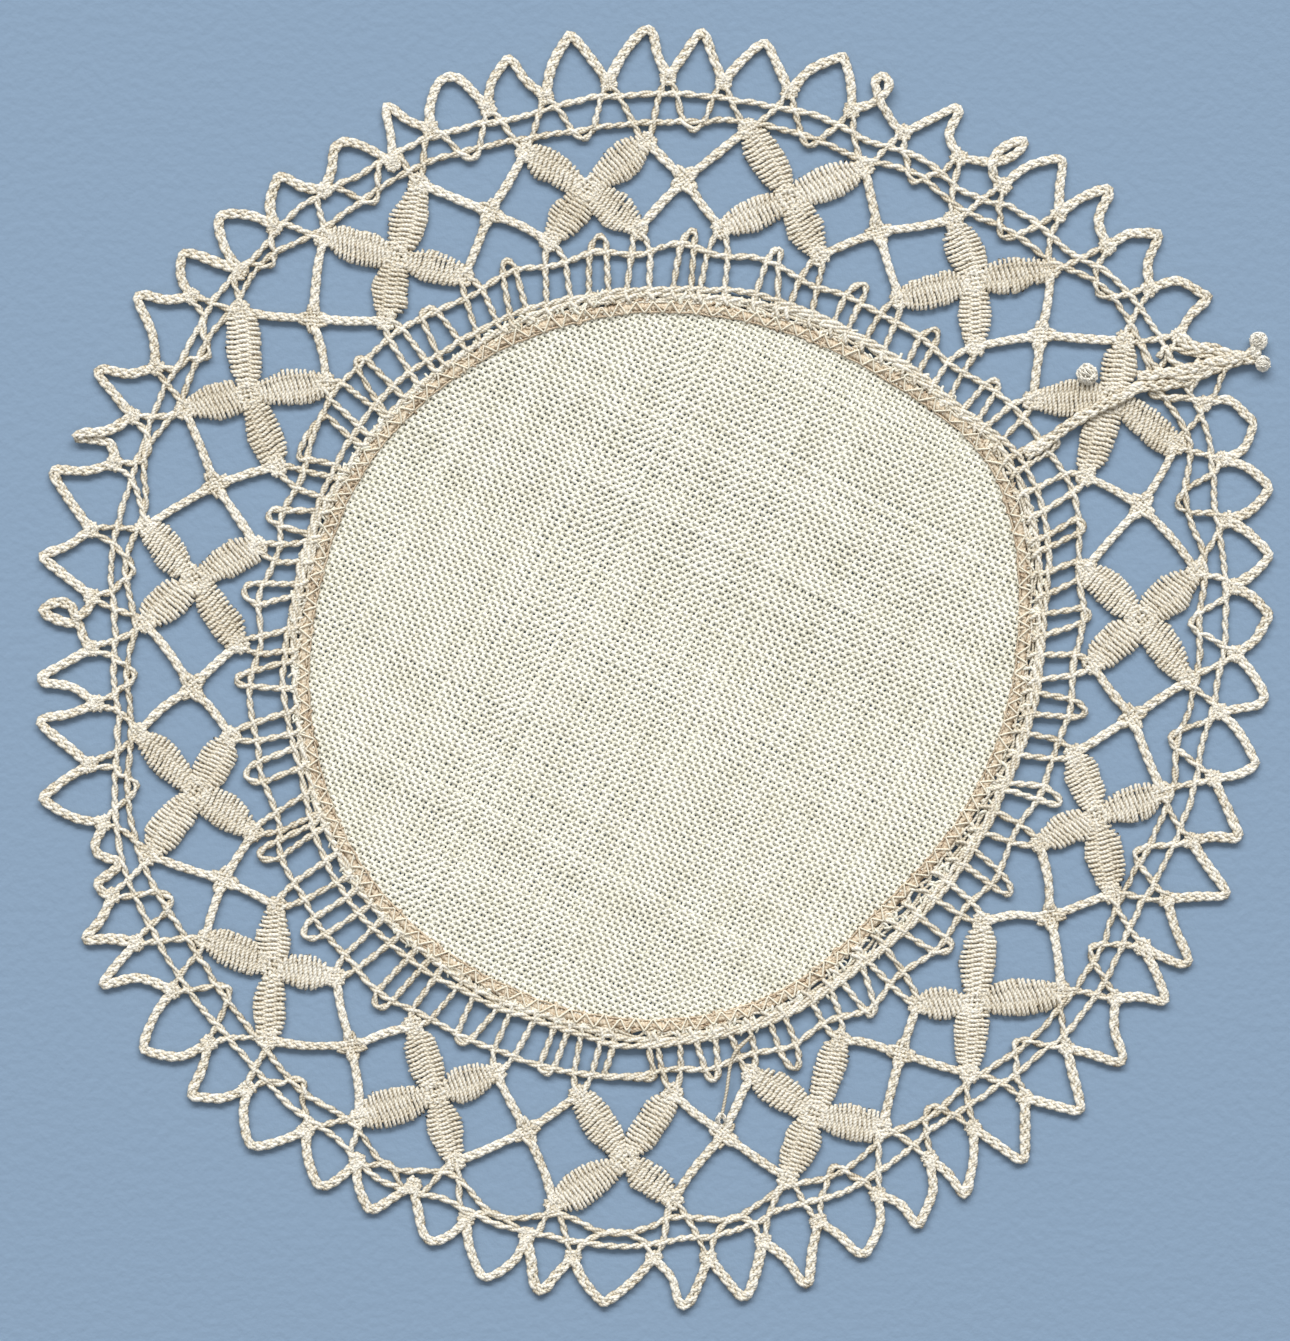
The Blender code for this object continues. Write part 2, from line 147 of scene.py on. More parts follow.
# One row for each repeat. A leaf is (turn from straight outwards, reach from the flower's
# middle), in the order outer left, outer right, inner right, inner left. Nodes and tips are
# (angle, radius): four knots of the rim, and the loop tip after each. Pins are the radii of the
# little turning loops: two at the trail, two at the ladder. Seam is the visible linen's radius.
Repeat = namedtuple("Repeat", "flower leaves crossing nodes tips pins seam")
REPEATS = (
    Repeat((-8.9, 58.1), ((-49.6, 8.7), (60.4, 9.1), (137.0, 7.8), (-135.5, 7.8)), (2.6, 58.6),
           ((-17.3, 70.3), (-11.5, 69.9), (-5.2, 70.5), (0.6, 70.8)),
           ((-14.2, 75.4), (-8.3, 76.6), (-1.4, 76.6), (3.6, 76.4)), (64.4, 64.9, 52.4, 52.6), 42.7),
    Repeat((15.3, 58.3), ((-45.9, 9.9), (51.3, 9.7), (137.0, 7.7), (-128.8, 9.0)), (26.4, 58.4),
           ((6.0, 70.7), (12.5, 70.8), (18.8, 70.7), (24.3, 70.4)),
           ((9.3, 76.0), (16.4, 76.5), (20.5, 75.4), (27.8, 76.0)), (65.3, 65.9, 52.2, 52.0), 42.8),
    Repeat((39.0, 59.7), ((-58.8, 7.8), (41.9, 9.1), (141.0, 7.9), (-142.5, 9.3)), (48.7, 60.5),
           ((30.2, 70.8), (35.3, 70.8), (41.2, 72.4), (46.6, 73.5)),
           ((34.2, 75.9), (38.0, 77.5), (43.0, 78.5), (48.8, 79.0)), (66.1, 69.2, 52.2, 52.9), 43.9),
    Repeat((59.0, 62.9), ((-46.2, 7.0), (66.9, 9.6), (139.4, 9.9), (-151.2, 9.5)), (71.3, 60.7),
           ((52.1, 74.1), (57.3, 73.6), (64.0, 72.2), (69.6, 71.7)),
           ((55.7, 79.2), (61.2, 78.0), (67.4, 76.8), (73.4, 75.9)), (67.5, 65.1, 54.5, 53.4), 46.1),
    Repeat((84.2, 57.8), ((-35.3, 8.8), (57.6, 9.3), (143.2, 8.0), (-132.4, 9.0)), (96.0, 56.7),
           ((75.3, 70.0), (81.9, 69.0), (88.6, 68.8), (94.5, 67.2)),
           ((79.4, 74.0), (85.0, 73.1), (92.8, 72.3), (99.1, 72.1)), (63.9, 61.8, 51.6, 51.0), 43.0),
    Repeat((108.8, 55.1), ((-38.8, 8.4), (60.3, 9.5), (135.4, 7.7), (-129.2, 7.9)), (122.6, 55.4),
           ((101.3, 67.4), (108.1, 66.8), (114.6, 66.6), (120.1, 66.5)),
           ((106.2, 72.1), (111.8, 72.9), (119.2, 72.3), (123.4, 72.3)), (61.2, 61.7, 50.5, 49.8), 40.6),
    Repeat((137.0, 54.9), ((-54.8, 10.5), (47.1, 8.5), (131.0, 6.8), (-131.3, 9.8)), (148.2, 54.4),
           ((126.1, 67.3), (133.2, 66.6), (139.8, 67.5), (145.9, 66.6)),
           ((130.5, 72.6), (136.6, 73.0), (143.7, 73.2), (150.0, 72.9)), (62.0, 61.9, 48.3, 48.7), 38.9),
    Repeat((161.3, 56.6), ((-60.6, 8.4), (41.1, 8.2), (142.2, 8.9), (-141.5, 9.6)), (172.5, 56.4),
           ((151.4, 67.0), (157.7, 68.2), (164.2, 69.0), (170.0, 69.8)),
           ((155.2, 73.6), (160.9, 74.3), (166.8, 75.9), (172.5, 76.1)), (63.5, 66.0, 50.7, 49.8), 41.4),
    Repeat((184.3, 59.2), ((-54.5, 7.5), (53.9, 10.0), (140.4, 9.6), (-148.7, 9.9)), (196.3, 57.9),
           ((175.5, 71.0), (180.8, 70.8), (188.6, 71.5), (193.4, 69.9)),
           ((178.0, 76.5), (185.2, 76.4), (191.2, 76.0), (196.2, 76.1)), (67.4, 68.0, 49.3, 50.6), 42.3),
    Repeat((208.1, 57.8), ((-44.3, 8.6), (43.5, 9.5), (133.7, 8.5), (-136.3, 7.7)), (219.4, 58.7),
           ((199.6, 70.1), (205.7, 68.9), (211.7, 69.5), (217.6, 70.0)),
           ((202.2, 74.1), (208.4, 73.8), (213.6, 74.4), (220.8, 75.5)), (67.4, 65.9, 51.0, 53.1), 42.5),
    Repeat((232.5, 58.9), ((-49.3, 8.8), (59.5, 8.7), (131.3, 7.3), (-133.4, 7.7)), (244.2, 58.4),
           ((224.6, 70.9), (230.4, 70.6), (236.6, 70.3), (242.4, 71.1)),
           ((227.7, 76.2), (233.6, 77.2), (240.5, 77.2), (244.8, 76.5)), (64.9, 65.3, 53.6, 53.3), 43.1),
    Repeat((255.2, 57.8), ((-38.9, 9.5), (59.8, 9.8), (137.3, 7.8), (-129.9, 8.5)), (267.7, 56.4),
           ((247.5, 71.4), (254.5, 69.6), (260.4, 69.6), (266.4, 68.0)),
           ((250.8, 72.6), (258.0, 75.9), (265.0, 74.9), (269.0, 74.5)), (64.8, 63.5, 51.5, 51.1), 42.7),
    Repeat((280.7, 56.9), ((-50.8, 8.0), (35.7, 8.8), (140.5, 8.4), (-135.2, 9.3)), (292.3, 57.9),
           ((272.0, 68.4), (277.1, 68.9), (283.6, 70.5), (290.5, 70.1)),
           ((275.3, 74.4), (280.2, 75.5), (287.8, 76.7), (291.4, 75.4)), (64.7, 66.4, 51.0, 50.7), 42.2),
    Repeat((303.5, 59.6), ((-47.8, 7.8), (51.7, 10.0), (138.5, 9.5), (-145.8, 9.5)), (315.0, 59.2),
           ((295.4, 70.4), (300.7, 70.6), (308.3, 71.9), (313.3, 69.5)),
           ((297.8, 76.5), (305.3, 77.0), (310.9, 75.9), (315.6, 75.7)), (66.3, 67.5, 50.8, 52.0), 42.8),
    Repeat((327.2, 58.7), ((-42.6, 9.1), (49.6, 9.2), (139.4, 8.4), (-136.6, 7.8)), (339.3, 58.4),
           ((318.7, 70.4), (324.7, 70.2), (331.9, 68.6), (336.7, 70.4)),
           ((321.9, 74.7), (328.6, 73.8), (333.9, 75.1), (339.9, 75.4)), (65.9, 65.4, 51.5, 52.3), 42.8),
)

# One row for each repeat, for how its edge lies. Outer is the radius of the outer trail at the middle
# of the four loops after the repeat's knots. Inner is the radius of the inner trail at the tips of the
# two outer leaves. A loop is (bulge of its left side, bulge of its right side, half width of its tip),
# for the four loops after the repeat's knots. A side with a minus bulges into its loop.
Edge = namedtuple("Edge", "outer inner loops")
EDGES = (
    Edge((68.2, 68.8, 68.85, 68.8), (65.6, 65.4),
         ((0.65, -0.4, 0.4), (0.6, 0.1, 0.4), (0.4, -0.3, 0.7), (0.0, -0.1, 0.4))),
    Edge((68.6, 68.8, 67.9, 68.6), (66.2, 65.6),
         ((0.2, 0.0, 0.5), (0.7, 0.3, 0.4), (0.0, 0.0, 0.4), (0.0, -1.2, 0.4))),
    Edge((67.6, 69.6, 69.8, 71.6), (65.6, 67.6),
         ((0.0, 0.0, 0.4), (0.7, -0.2, 0.6), (0.4, -1.2, 0.4), (0.75, -0.7, 0.4))),
    Edge((71.7, 71.4, 71.2, 69.4), (69.5, 68.8),
         ((1.3, -0.4, 0.3), (0.0, 0.0, 0.4), (1.3, 0.9, 0.8), (0.55, 0.65, 0.7))),
    Edge((68.6, 67.9, 66.7, 65.5), (66.3, 64.1),
         ((0.35, 0.3, 0.7), (0.45, 0.6, 0.5), (0.2, 0.0, 0.9), (0.4, 0.35, 0.6))),
    Edge((65.3, 64.7, 64.1, 64.7), (62.9, 61.6),
         ((0.0, -0.35, 0.4), (-0.1, -0.1, 0.4), (-0.25, 0.2, 0.5), (0.2, -0.4, 0.4))),
    Edge((65.4, 64.8, 64.25, 64.0), (62.8, 61.8),
         ((-0.6, -0.1, 0.5), (0.0, 0.0, 0.4), (0.0, 0.0, 0.4), (0.4, -0.4, 0.3))),
    Edge((65.3, 66.5, 66.5, 68.1), (62.3, 64.0),
         ((0.95, -0.7, 0.3), (0.8, -0.3, 0.8), (-0.2, -0.5, 0.4), (0.15, 0.0, 0.5))),
    Edge((68.6, 69.6, 69.5, 69.5), (65.9, 66.7),
         ((0.1, -0.7, 0.6), (0.3, 0.4, 0.6), (-0.1, 0.0, 0.6), (0.8, 0.4, 0.8))),
    Edge((68.95, 70.2, 68.6, 68.8), (65.8, 66.0),
         ((0.4, 0.0, 1.0), (0.0, 0.5, 0.6), (0.2, 0.35, 0.9), (0.2, 0.4, 0.9))),
    Edge((68.4, 68.6, 68.7, 68.9), (65.8, 65.5),
         ((0.65, -0.3, 0.4), (1.1, 0.5, 0.5), (-1.2, 0.1, 0.2), (-0.3, -0.4, 0.2))),
    Edge((68.6, 67.3, 65.6, 65.75), (66.5, 64.1),
         ((0.0, 0.0, 0.4), (0.6, 0.2, 0.4), (0.0, -0.3, 0.4), (-0.75, 0.0, 0.4))),
    Edge((65.8, 67.2, 67.6, 67.7), (63.4, 64.9),
         ((0.0, 0.0, 0.4), (0.0, -0.4, 0.3), (0.1, -0.5, 0.4), (0.0, 0.0, 0.4))),
    Edge((68.4, 68.6, 69.6, 69.5), (65.9, 67.4),
         ((0.0, -0.7, 0.4), (-0.65, -0.5, 0.5), (0.65, 0.0, 0.6), (0.5, 0.6, 0.8))),
    Edge((70.3, 69.4, 69.5, 69.0), (66.6, 66.9),
         ((0.6, -0.4, 0.6), (-0.3, 0.2, 1.2), (-0.2, -0.4, 0.3), (0.4, 0.1, 1.3))),
)

# One row for each of the ladder's arches, clockwise from the first flower's. Left, right and top are how
# far clockwise of the arch's middle its two legs cross the ladder's outer line, and its top stands;
# foot_left and foot_right are the same for the inner line. Line, next_line and foot are the radii of
# the outer line at the arch and at the leaf tip after it, and of the inner line. Fray is how far the
# frayed linen reaches from the seam. With no top, the pair only runs along the line.
Arch = namedtuple("Arch", "left right top foot_left foot_right line next_line foot fray")
ARCHES = (
    Arch(-0.8, 1.25, 0.7, -1.7, 0.7, 50.5, 49.65, 45.4, 2.9),
    Arch(0.3, 1.8, 1.6, -0.5, 1.7, 51.0, 50.0, 45.5, 2.2),
    Arch(0.1, 1.5, 1.1, -0.2, 2.5, 50.5, 49.3, 46.2, 2.6),
    Arch(-0.6, 1.4, 0.8, -0.4, 1.5, 49.8, 49.9, 46.2, 3.1),
    Arch(-0.5, 1.4, 0.5, 0.2, 2.0, 50.35, 50.3, 46.7, 2.9),
    Arch(-0.5, 1.1, 0.3, 0.1, 2.4, 51.7, 52.5, 47.5, 2.6),
    Arch(-0.9, 0.9, None, -0.9, 0.9, 53.0, 53.7, 49.8, 2.6),
    Arch(-1.0, 0.7, 0.1, -0.2, 1.2, 52.8, 51.3, 48.8, 2.8),
    Arch(-1.2, 0.5, -0.3, -1.0, 1.5, 50.9, 49.4, 46.1, 2.7),
    Arch(-1.1, 1.0, 0.2, -1.5, 1.1, 49.2, 48.2, 44.9, 3.0),
    Arch(-1.0, 0.7, 0.2, -0.1, 0.8, 47.8, 46.7, 43.7, 3.0),
    Arch(-0.5, 1.4, 1.0, -1.1, 1.1, 47.3, 46.4, 43.2, 3.2),
    Arch(-1.6, 0.5, -1.1, -1.2, 1.5, 47.2, 46.5, 42.95, 3.8),
    Arch(-0.6, 0.6, 0.2, -1.8, 1.2, 47.9, 46.7, 43.2, 3.6),
    Arch(-0.5, 1.6, 0.5, -0.3, 1.6, 47.9, 47.5, 44.3, 3.0),
    Arch(-0.9, 0.7, -0.2, -1.0, 1.4, 48.4, 48.2, 44.7, 2.7),
    Arch(-3.2, 2.8, None, -2.2, 2.0, 49.2, 49.65, 45.4, 2.6),
    Arch(-1.3, 0.4, -0.5, -1.7, 0.0, 49.9, 49.9, 44.85, 1.7),
    Arch(-1.1, 0.6, -0.3, -2.2, 1.0, 50.3, 50.5, 45.35, 2.2),
    Arch(-1.5, 0.6, -0.5, -1.6, 0.4, 51.6, 51.3, 46.2, 1.8),
    Arch(-0.7, 1.7, 0.7, -1.1, 1.3, 51.5, 51.0, 46.8, 2.1),
    Arch(0.3, 2.3, 1.6, 1.1, 2.2, 51.2, 49.6, 46.3, 1.9),
    Arch(-0.5, 2.0, 0.8, 0.0, 2.5, 49.7, 49.4, 45.05, 1.7),
    Arch(0.3, 1.9, 1.1, -0.2, 2.9, 49.6, 48.2, 45.5, 1.8),
    Arch(-1.0, 1.6, 0.5, 0.8, 2.3, 49.0, 48.0, 44.9, 2.6),
    Arch(-1.5, 0.4, -0.7, -1.2, 1.8, 49.2, 48.8, 45.35, 2.6),
    Arch(-3.4, 2.6, None, -1.8, 2.0, 50.3, 51.4, 46.2, 2.1),
    Arch(-1.2, 0.3, -0.6, -2.3, 0.3, 51.2, 51.2, 46.7, 2.0),
    Arch(-1.6, 0.4, -0.7, -2.3, 0.8, 50.7, 50.15, 46.05, 2.0),
    Arch(-1.0, 0.6, -0.1, -2.0, 0.1, 50.9, 50.0, 45.9, 2.5),
)

# Rim loops that fell over, curled or folded when the mat was put down. Each goes by the number of
# the knot that it starts from, and its places are (right, up the picture, lift) from that knot.
FALLEN_LOOPS = {
    6: ((3.0, 1.2, 0.0), (2.8, 3.5, 0.0), (3.7, 4.1, 0.1), (4.4, 3.4, 0.3), (4.3, 2.4, 0.45),
        (3.4, 1.2, 0.5), (4.2, -0.4, 0.2), (5.2, -1.9, 0.0)),
    8: ((4.1, -0.5, 0.0), (6.0, 0.0, 0.0), (7.4, 1.0, 0.0), (7.9, 1.9, 0.0), (7.3, 2.1, 0.1),
        (6.0, 1.6, 0.1), (4.6, 0.6, 0.2), (4.0, -0.8, 0.4), (4.2, -2.3, 0.1)),
    44: ((-1.2, 0.5, 0.0), (-1.6, 1.6, 0.0), (-0.5, 2.5, 0.0), (0.6, 3.4, 0.0), (0.7, 4.2, 0.0),
         (-0.5, 4.5, 0.0), (-1.8, 5.2, 0.0), (-2.0, 6.4, 0.0), (-1.2, 7.9, 0.0)),
    48: ((-0.7, 0.7, 0.0), (-1.2, 1.8, 0.0), (-1.6, 2.9, 0.0), (-2.9, 3.0, 0.0), (-4.6, 3.6, 0.0),
         (-5.9, 4.4, 0.0), (-4.9, 5.3, 0.0), (-3.6, 5.5, 0.0), (-2.4, 4.9, 0.1), (-2.0, 3.8, 0.3),
         (-1.1, 4.1, 0.1), (-0.2, 5.2, 0.0)),
    51: ((-0.1, 1.4, 0.0), (-0.7, 2.5, 0.0), (-2.3, 2.8, 0.0), (-3.6, 3.0, 0.1), (-4.7, 3.1, 0.3),
         (-3.8, 3.6, 0.5), (-1.7, 3.7, 0.4), (-0.1, 4.2, 0.2), (1.4, 5.2, 0.0)),
}

# The join. A plait's and a strand's places are (right, up, level), and a tuft's row is (right, up,
# reach, way, fibres).
JOIN_PLAITS = (
    ((43.6, 25.4, 0.7), (46.0, 27.0, 0.9), (48.3, 28.8, 1.0), (50.6, 30.3, 1.05), (52.9, 31.5, 1.1),
     (55.0, 32.4, 1.1), (57.4, 33.9, 1.05)),
    ((54.5, 32.6, 1.1), (57.2, 33.6, 1.1), (60.0, 33.9, 0.95), (62.6, 34.3, 0.8), (65.0, 35.4, 0.75),
     (67.5, 36.4, 0.75), (69.8, 37.0, 0.75), (71.0, 37.0, 0.75)),
    ((57.0, 35.0, 0.95), (59.4, 35.2, 1.0), (62.0, 35.6, 1.0), (64.6, 36.2, 1.0), (67.2, 36.9, 0.95),
     (69.6, 37.2, 0.9)),
    ((61.9, 39.7, 0.6), (64.1, 38.3, 0.7), (65.9, 38.4, 0.8), (68.0, 37.5, 0.85), (69.8, 37.4, 0.9)),
)
JOIN_STRANDS = (
    ((60.8, 38.5, 0.6), (62.9, 37.8, 0.65), (64.8, 37.4, 0.75), (66.1, 37.2, 0.85), (67.7, 37.2, 0.9)),
    ((64.8, 31.7, 0.6), (66.2, 32.7, 0.65), (66.9, 34.4, 0.7), (67.6, 35.9, 0.8)),
    ((63.2, 33.0, 0.6), (63.8, 34.0, 0.65), (64.8, 35.2, 0.75), (65.8, 35.5, 0.85)),
    ((59.5, 37.2, 0.7), (60.4, 38.4, 0.75), (61.0, 36.9, 0.8), (62.0, 36.3, 0.9), (63.5, 36.2, 0.95),
     (64.5, 36.9, 0.9)),
    ((57.6, 38.8, 0.6), (58.7, 36.6, 0.7), (60.6, 35.3, 0.95), (63.3, 34.6, 1.1)),
    ((58.7, 33.7, 0.8), (60.0, 32.7, 0.65), (61.4, 32.3, 0.6), (62.5, 32.4, 0.6)),
    ((69.4, 37.1, 0.75), (70.3, 37.7, 0.85), (71.1, 38.7, 0.9)),
    ((69.7, 37.5, 0.65), (70.6, 38.0, 0.75), (71.3, 38.9, 0.8)),
)
JOIN_TUFTS = (
    (71.5, 39.2, 1.15, 35.0, 190),
    (71.1, 37.8, 0.8, 60.0, 80),
    (72.0, 36.5, 1.0, 105.0, 130),
    (51.0, 35.2, 1.35, 300.0, 200),
)

# A thread that broke and trails from the linen over the lace, as (right, up, level).
BROKEN_THREAD = ((10.9, -43.9, 1.1), (8.6, -46.4, 0.9), (7.7, -51.0, 0.8), (7.1, -54.0, 0.6))

OUTER_LEFT, OUTER_RIGHT, INNER_RIGHT, INNER_LEFT = range(4)
KNOTS = 4 * len(REPEATS)
LEAVES = [(index, number) for index in range(len(REPEATS)) for number in range(4)]
JOIN_LOOP = 13
UPRIGHT = np.array((0.0, 0.0, 1.0))

# The three colours of each thread's tone, dark, middle and pale, from 0 to 255. Its random tone moves it
# between them, and so do painted shade where it dips and painted light on top.
LACE_COLOURS = ((138, 118, 90), (222, 212, 190), (253, 249, 238))
CLOTH_COLOURS = ((196, 192, 170), (246, 244, 228), (255, 254, 244))
SEWING_COLOURS = ((146, 118, 92), (224, 207, 181), (252, 245, 226))
FLOOR_COLOUR = (139, 164, 191)

# The floor and the lamps, in metres.
FLOOR_HALF = 1.5
WORLD_LIGHT = 0.38
KEY_PLACE = (0.0, 4.6, 3.8)
KEY_SIZE = (8.4, 1.7)
KEY_POWER = 460.0
KEY_COLOUR = (1.0, 0.99, 0.97)


def polar(angle, radius, level=LACE_LEVEL):
    """The point at a clock angle, a radius and a height."""
    turn = math.radians(angle)
    return np.array((radius * math.sin(turn), radius * math.cos(turn), level))


def clock(point):
    """The clock angle of a point."""
    return math.degrees(math.atan2(point[0], point[1])) % 360.0


def between(start, end, share=0.5):
    """The clock angle a share of the way clockwise from start to end."""
    return start + ((end - start) % 360.0) * share


def unit(vector):
    """The vector at length one."""
    return vector / max(np.linalg.norm(vector), 1e-9)


def sideways(vector):
    """The unit vector that points to the right of a direction, seen from above."""
    return unit(np.array((vector[1], -vector[0], 0.0)))


def straight_out(point):
    """The unit vector from the mat's middle towards a point, along the table."""
    return unit(point * np.array((1.0, 1.0, 0.0)))


def eased(share):
    """How a smooth curve goes on at a share of its span: its rise, and the pull of both end slopes."""
    rise = share * share * (3.0 - 2.0 * share)
    return rise, share * (1.0 - share) ** 2, share * share * (share - 1.0)


def around(angle, stations):
    """A smooth value at an angle, read from (angle, value) stations that go round once."""
    count = len(stations)
    for index, (start, value) in enumerate(stations):
        end, next_value = stations[(index + 1) % count]
        span = (end - start) % 360.0
        past = (angle - start) % 360.0
        if past < span:
            break
    before, value_before = stations[index - 1]
    after, value_after = stations[(index + 2) % count]
    slope = (next_value - value_before) / ((end - before) % 360.0)
    next_slope = (value_after - value) / ((after - start) % 360.0)
    ease, rise, fall = eased(past / span)
    return value + (next_value - value) * ease + rise * span * slope + fall * span * next_slope


def seam_radius(angle):
    """Radius of the visible linen, where the seam starts."""
    return around(angle, [(row.flower[0] % 360.0, row.seam) for row in REPEATS])


def aside(angle, radius, distance):
    """The clock angle that lies a distance clockwise of an angle, at a radius."""
    return angle + math.degrees(distance / radius)


def knot(count):
    """The place of the rim's knot with this number, counted round the whole rim."""
    row = REPEATS[(count // 4) % len(REPEATS)]
    return row.nodes[count % 4]


def flower_middle(index):
    """Middle of a flower."""
    return polar(*REPEATS[index % len(REPEATS)].flower)


def leaf_way(index, leaf):
    """The direction that a leaf points in."""
    row = REPEATS[index % len(REPEATS)]
    return polar(row.flower[0] + row.leaves[leaf][0], 1.0, 0.0)


def leaf_tip(index, leaf):
    """Tip of one leaf of a flower."""
    row = REPEATS[index % len(REPEATS)]
    return flower_middle(index) + leaf_way(index, leaf) * row.leaves[leaf][1]


def resample(line, step):
    """The same line with its corners an even step apart."""
    gaps = np.linalg.norm(np.diff(line, axis=0), axis=1)
    travelled = np.concatenate([[0.0], np.cumsum(gaps)])
    count = max(2, int(round(travelled[-1] / step)))
    places = np.linspace(0.0, travelled[-1], count + 1)
    return np.column_stack([np.interp(places, travelled, line[:, axis]) for axis in range(3)])


def through(points, step, closed=False):
    """A smooth line through the points, with its corners an even step apart."""
    points = np.array(points, float)
    if closed:
        points = np.vstack([points[-1:], points, points[:2]])
    else:
        points = np.vstack([2 * points[0] - points[1], points, 2 * points[-1] - points[-2]])
    gaps = np.sqrt(np.maximum(np.linalg.norm(np.diff(points, axis=0), axis=1), 1e-6))[:, None]
    chords = np.diff(points, axis=0) / gaps
    weight = gaps[1:] / (gaps[:-1] + gaps[1:])
    slopes = chords[:-1] * weight + chords[1:] * (1.0 - weight)
    ease, rise, fall = eased(np.arange(CURVE_STEPS)[:, None] / CURVE_STEPS)
    pieces = []
    for k in range(len(points) - 3):
        start = points[k + 1]
        end = points[k + 2]
        gap = gaps[k + 1]
        pieces.append(start + (end - start) * ease + (slopes[k] * rise + slopes[k + 1] * fall) * gap)
    pieces.append(points[-2:-1])
    return resample(np.vstack(pieces), step)


class Threads:
    """Threads swept along their middle lines, which become one mesh.

    Each point keeps the way along its thread in millimetres, the turn round it and the thread's
    own number, so that the material can draw the twist of its plies. It also keeps how far it rises above
    the thread's middle way, which the material uses to paint light on top and shade where it dips.
    """

    def __init__(self, name, sides, seed, uneven=UNEVEN):
        self.name = name
        self.sides = sides
        self.uneven = uneven
        self.random = np.random.default_rng(seed)
        self.corners = []
        self.quads = []
        self.caps = []
        self.marks = []
        self.rises = []
        self.count = 0

    def add(self, line, half, high=None, shade=None):
        """Sweeps an oval of half width half and half height high along a line."""
        line = np.asarray(line, float)
        rings = len(line)
        slubs = np.convolve(self.random.normal(0.0, 1.0, rings + 4), np.ones(5) / 5.0, "valid")
        half = np.broadcast_to(half, rings) * (1.0 + self.uneven * slubs)
        high = half if high is None else np.broadcast_to(high, rings)
        ahead = np.gradient(line, axis=0)
        ahead /= np.maximum(np.linalg.norm(ahead, axis=1), 1e-9)[:, None]
        side = np.column_stack([ahead[:, 1], -ahead[:, 0], np.zeros(rings)])
        side /= np.maximum(np.linalg.norm(side, axis=1), 1e-9)[:, None]
        up = np.cross(side, ahead)
        turns = (np.arange(self.sides) - self.sides // 2) / self.sides + 0.25
        cosines = np.cos(2 * math.pi * turns)[None, :, None]
        sines = np.sin(2 * math.pi * turns)[None, :, None]
        ring = side[:, None, :] * half[:, None, None] * cosines
        ring = ring + up[:, None, :] * high[:, None, None] * sines
        ring = line[:, None, :] + ring
        self.corners.append(ring.reshape(-1, 3))
        # How far each corner stands above or below the thread's smoothed middle way: painted light where it
        # rises, painted shade where it dips.
        level = np.convolve(np.pad(line[:, 2], 3, "edge"), np.ones(7) / 7.0, "valid")
        self.rises.append(((ring[:, :, 2] - level[:, None]) / MARK_HEIGHT).ravel())
        gaps = np.linalg.norm(np.diff(line, axis=0), axis=1)
        travelled = np.concatenate([[0.0], np.cumsum(gaps)]) + self.random.random() * 10.0
        marks = np.empty((rings, self.sides, 3))
        marks[:, :, 0] = travelled[:, None]
        marks[:, :, 1] = turns[None, :]
        marks[:, :, 2] = self.random.random() if shade is None else shade
        self.marks.append(marks.reshape(-1, 3))
        self.join_rings(rings)

    def join_rings(self, rings):
        """The faces between the rings of the last thread, and its two end faces."""
        start = self.count + np.arange(rings - 1)[:, None] * self.sides
        here = start + np.arange(self.sides)[None, :]
        beside = start + (np.arange(self.sides)[None, :] + 1) % self.sides
        quads = np.stack([here, beside, beside + self.sides, here + self.sides], axis=-1)
        self.quads.append(quads.reshape(-1, 4))
        last = self.count + (rings - 1) * self.sides
        self.caps.append(self.count + np.arange(self.sides)[::-1])
        self.caps.append(last + np.arange(self.sides))
        self.count += rings * self.sides

    def build(self, material):
        """The mesh object of all the threads so far, in metres."""
        quads = np.concatenate(self.quads)
        caps = np.array(self.caps)
        mesh = bpy.data.meshes.new(self.name)
        mesh.vertices.add(self.count)
        mesh.vertices.foreach_set("co", (np.concatenate(self.corners) * MM).ravel())
        mesh.loops.add(quads.size + caps.size)
        mesh.loops.foreach_set("vertex_index", np.concatenate([quads.ravel(), caps.ravel()]))
        mesh.polygons.add(len(quads) + len(caps))
        starts = np.concatenate([
            np.arange(len(quads)) * 4,
            quads.size + np.arange(len(caps)) * self.sides,
        ])
        mesh.polygons.foreach_set("loop_start", starts)
        mesh.polygons.foreach_set("use_smooth", np.ones(len(starts), bool))
        marks = mesh.attributes.new("thread", "FLOAT_VECTOR", "POINT")
        marks.data.foreach_set("vector", np.concatenate(self.marks).ravel())
        rises = mesh.attributes.new("rise", "FLOAT", "POINT")
        rises.data.foreach_set("value", np.concatenate(self.rises))
        mesh.update(calc_edges=True)
        mesh.materials.append(material)
        made = bpy.data.objects.new(self.name, mesh)
        bpy.context.collection.objects.link(made)
        return made


def plait(threads, points, swing=PLAIT_SWING, half=PLAIT_HALF):
    """Four threads plaited along a line, each over one neighbour and under the next."""
    line = through(points, PLAIT_TURN / PLAIT_STEPS)
    side = sides_of(line)
    pace = 1.0 + threads.random.normal(0.0, 0.15, len(line))
    turn = threads.random.random() * 2 * math.pi + 2 * math.pi * np.cumsum(pace) / PLAIT_STEPS
    slack = np.convolve(threads.random.normal(0.0, 1.0, len(line) + 6), np.ones(7) / 7.0, "valid")
    width = swing * threads.random.normal(1.0, 0.04) * (1.0 + 0.2 * slack)
    for strand in range(4):
        phase = turn + strand * math.pi / 2
        moved = line + side * (width * np.sin(phase))[:, None]
        moved[:, 2] += PLAIT_LIFT * np.cos(3 * phase)
        threads.add(moved, half)


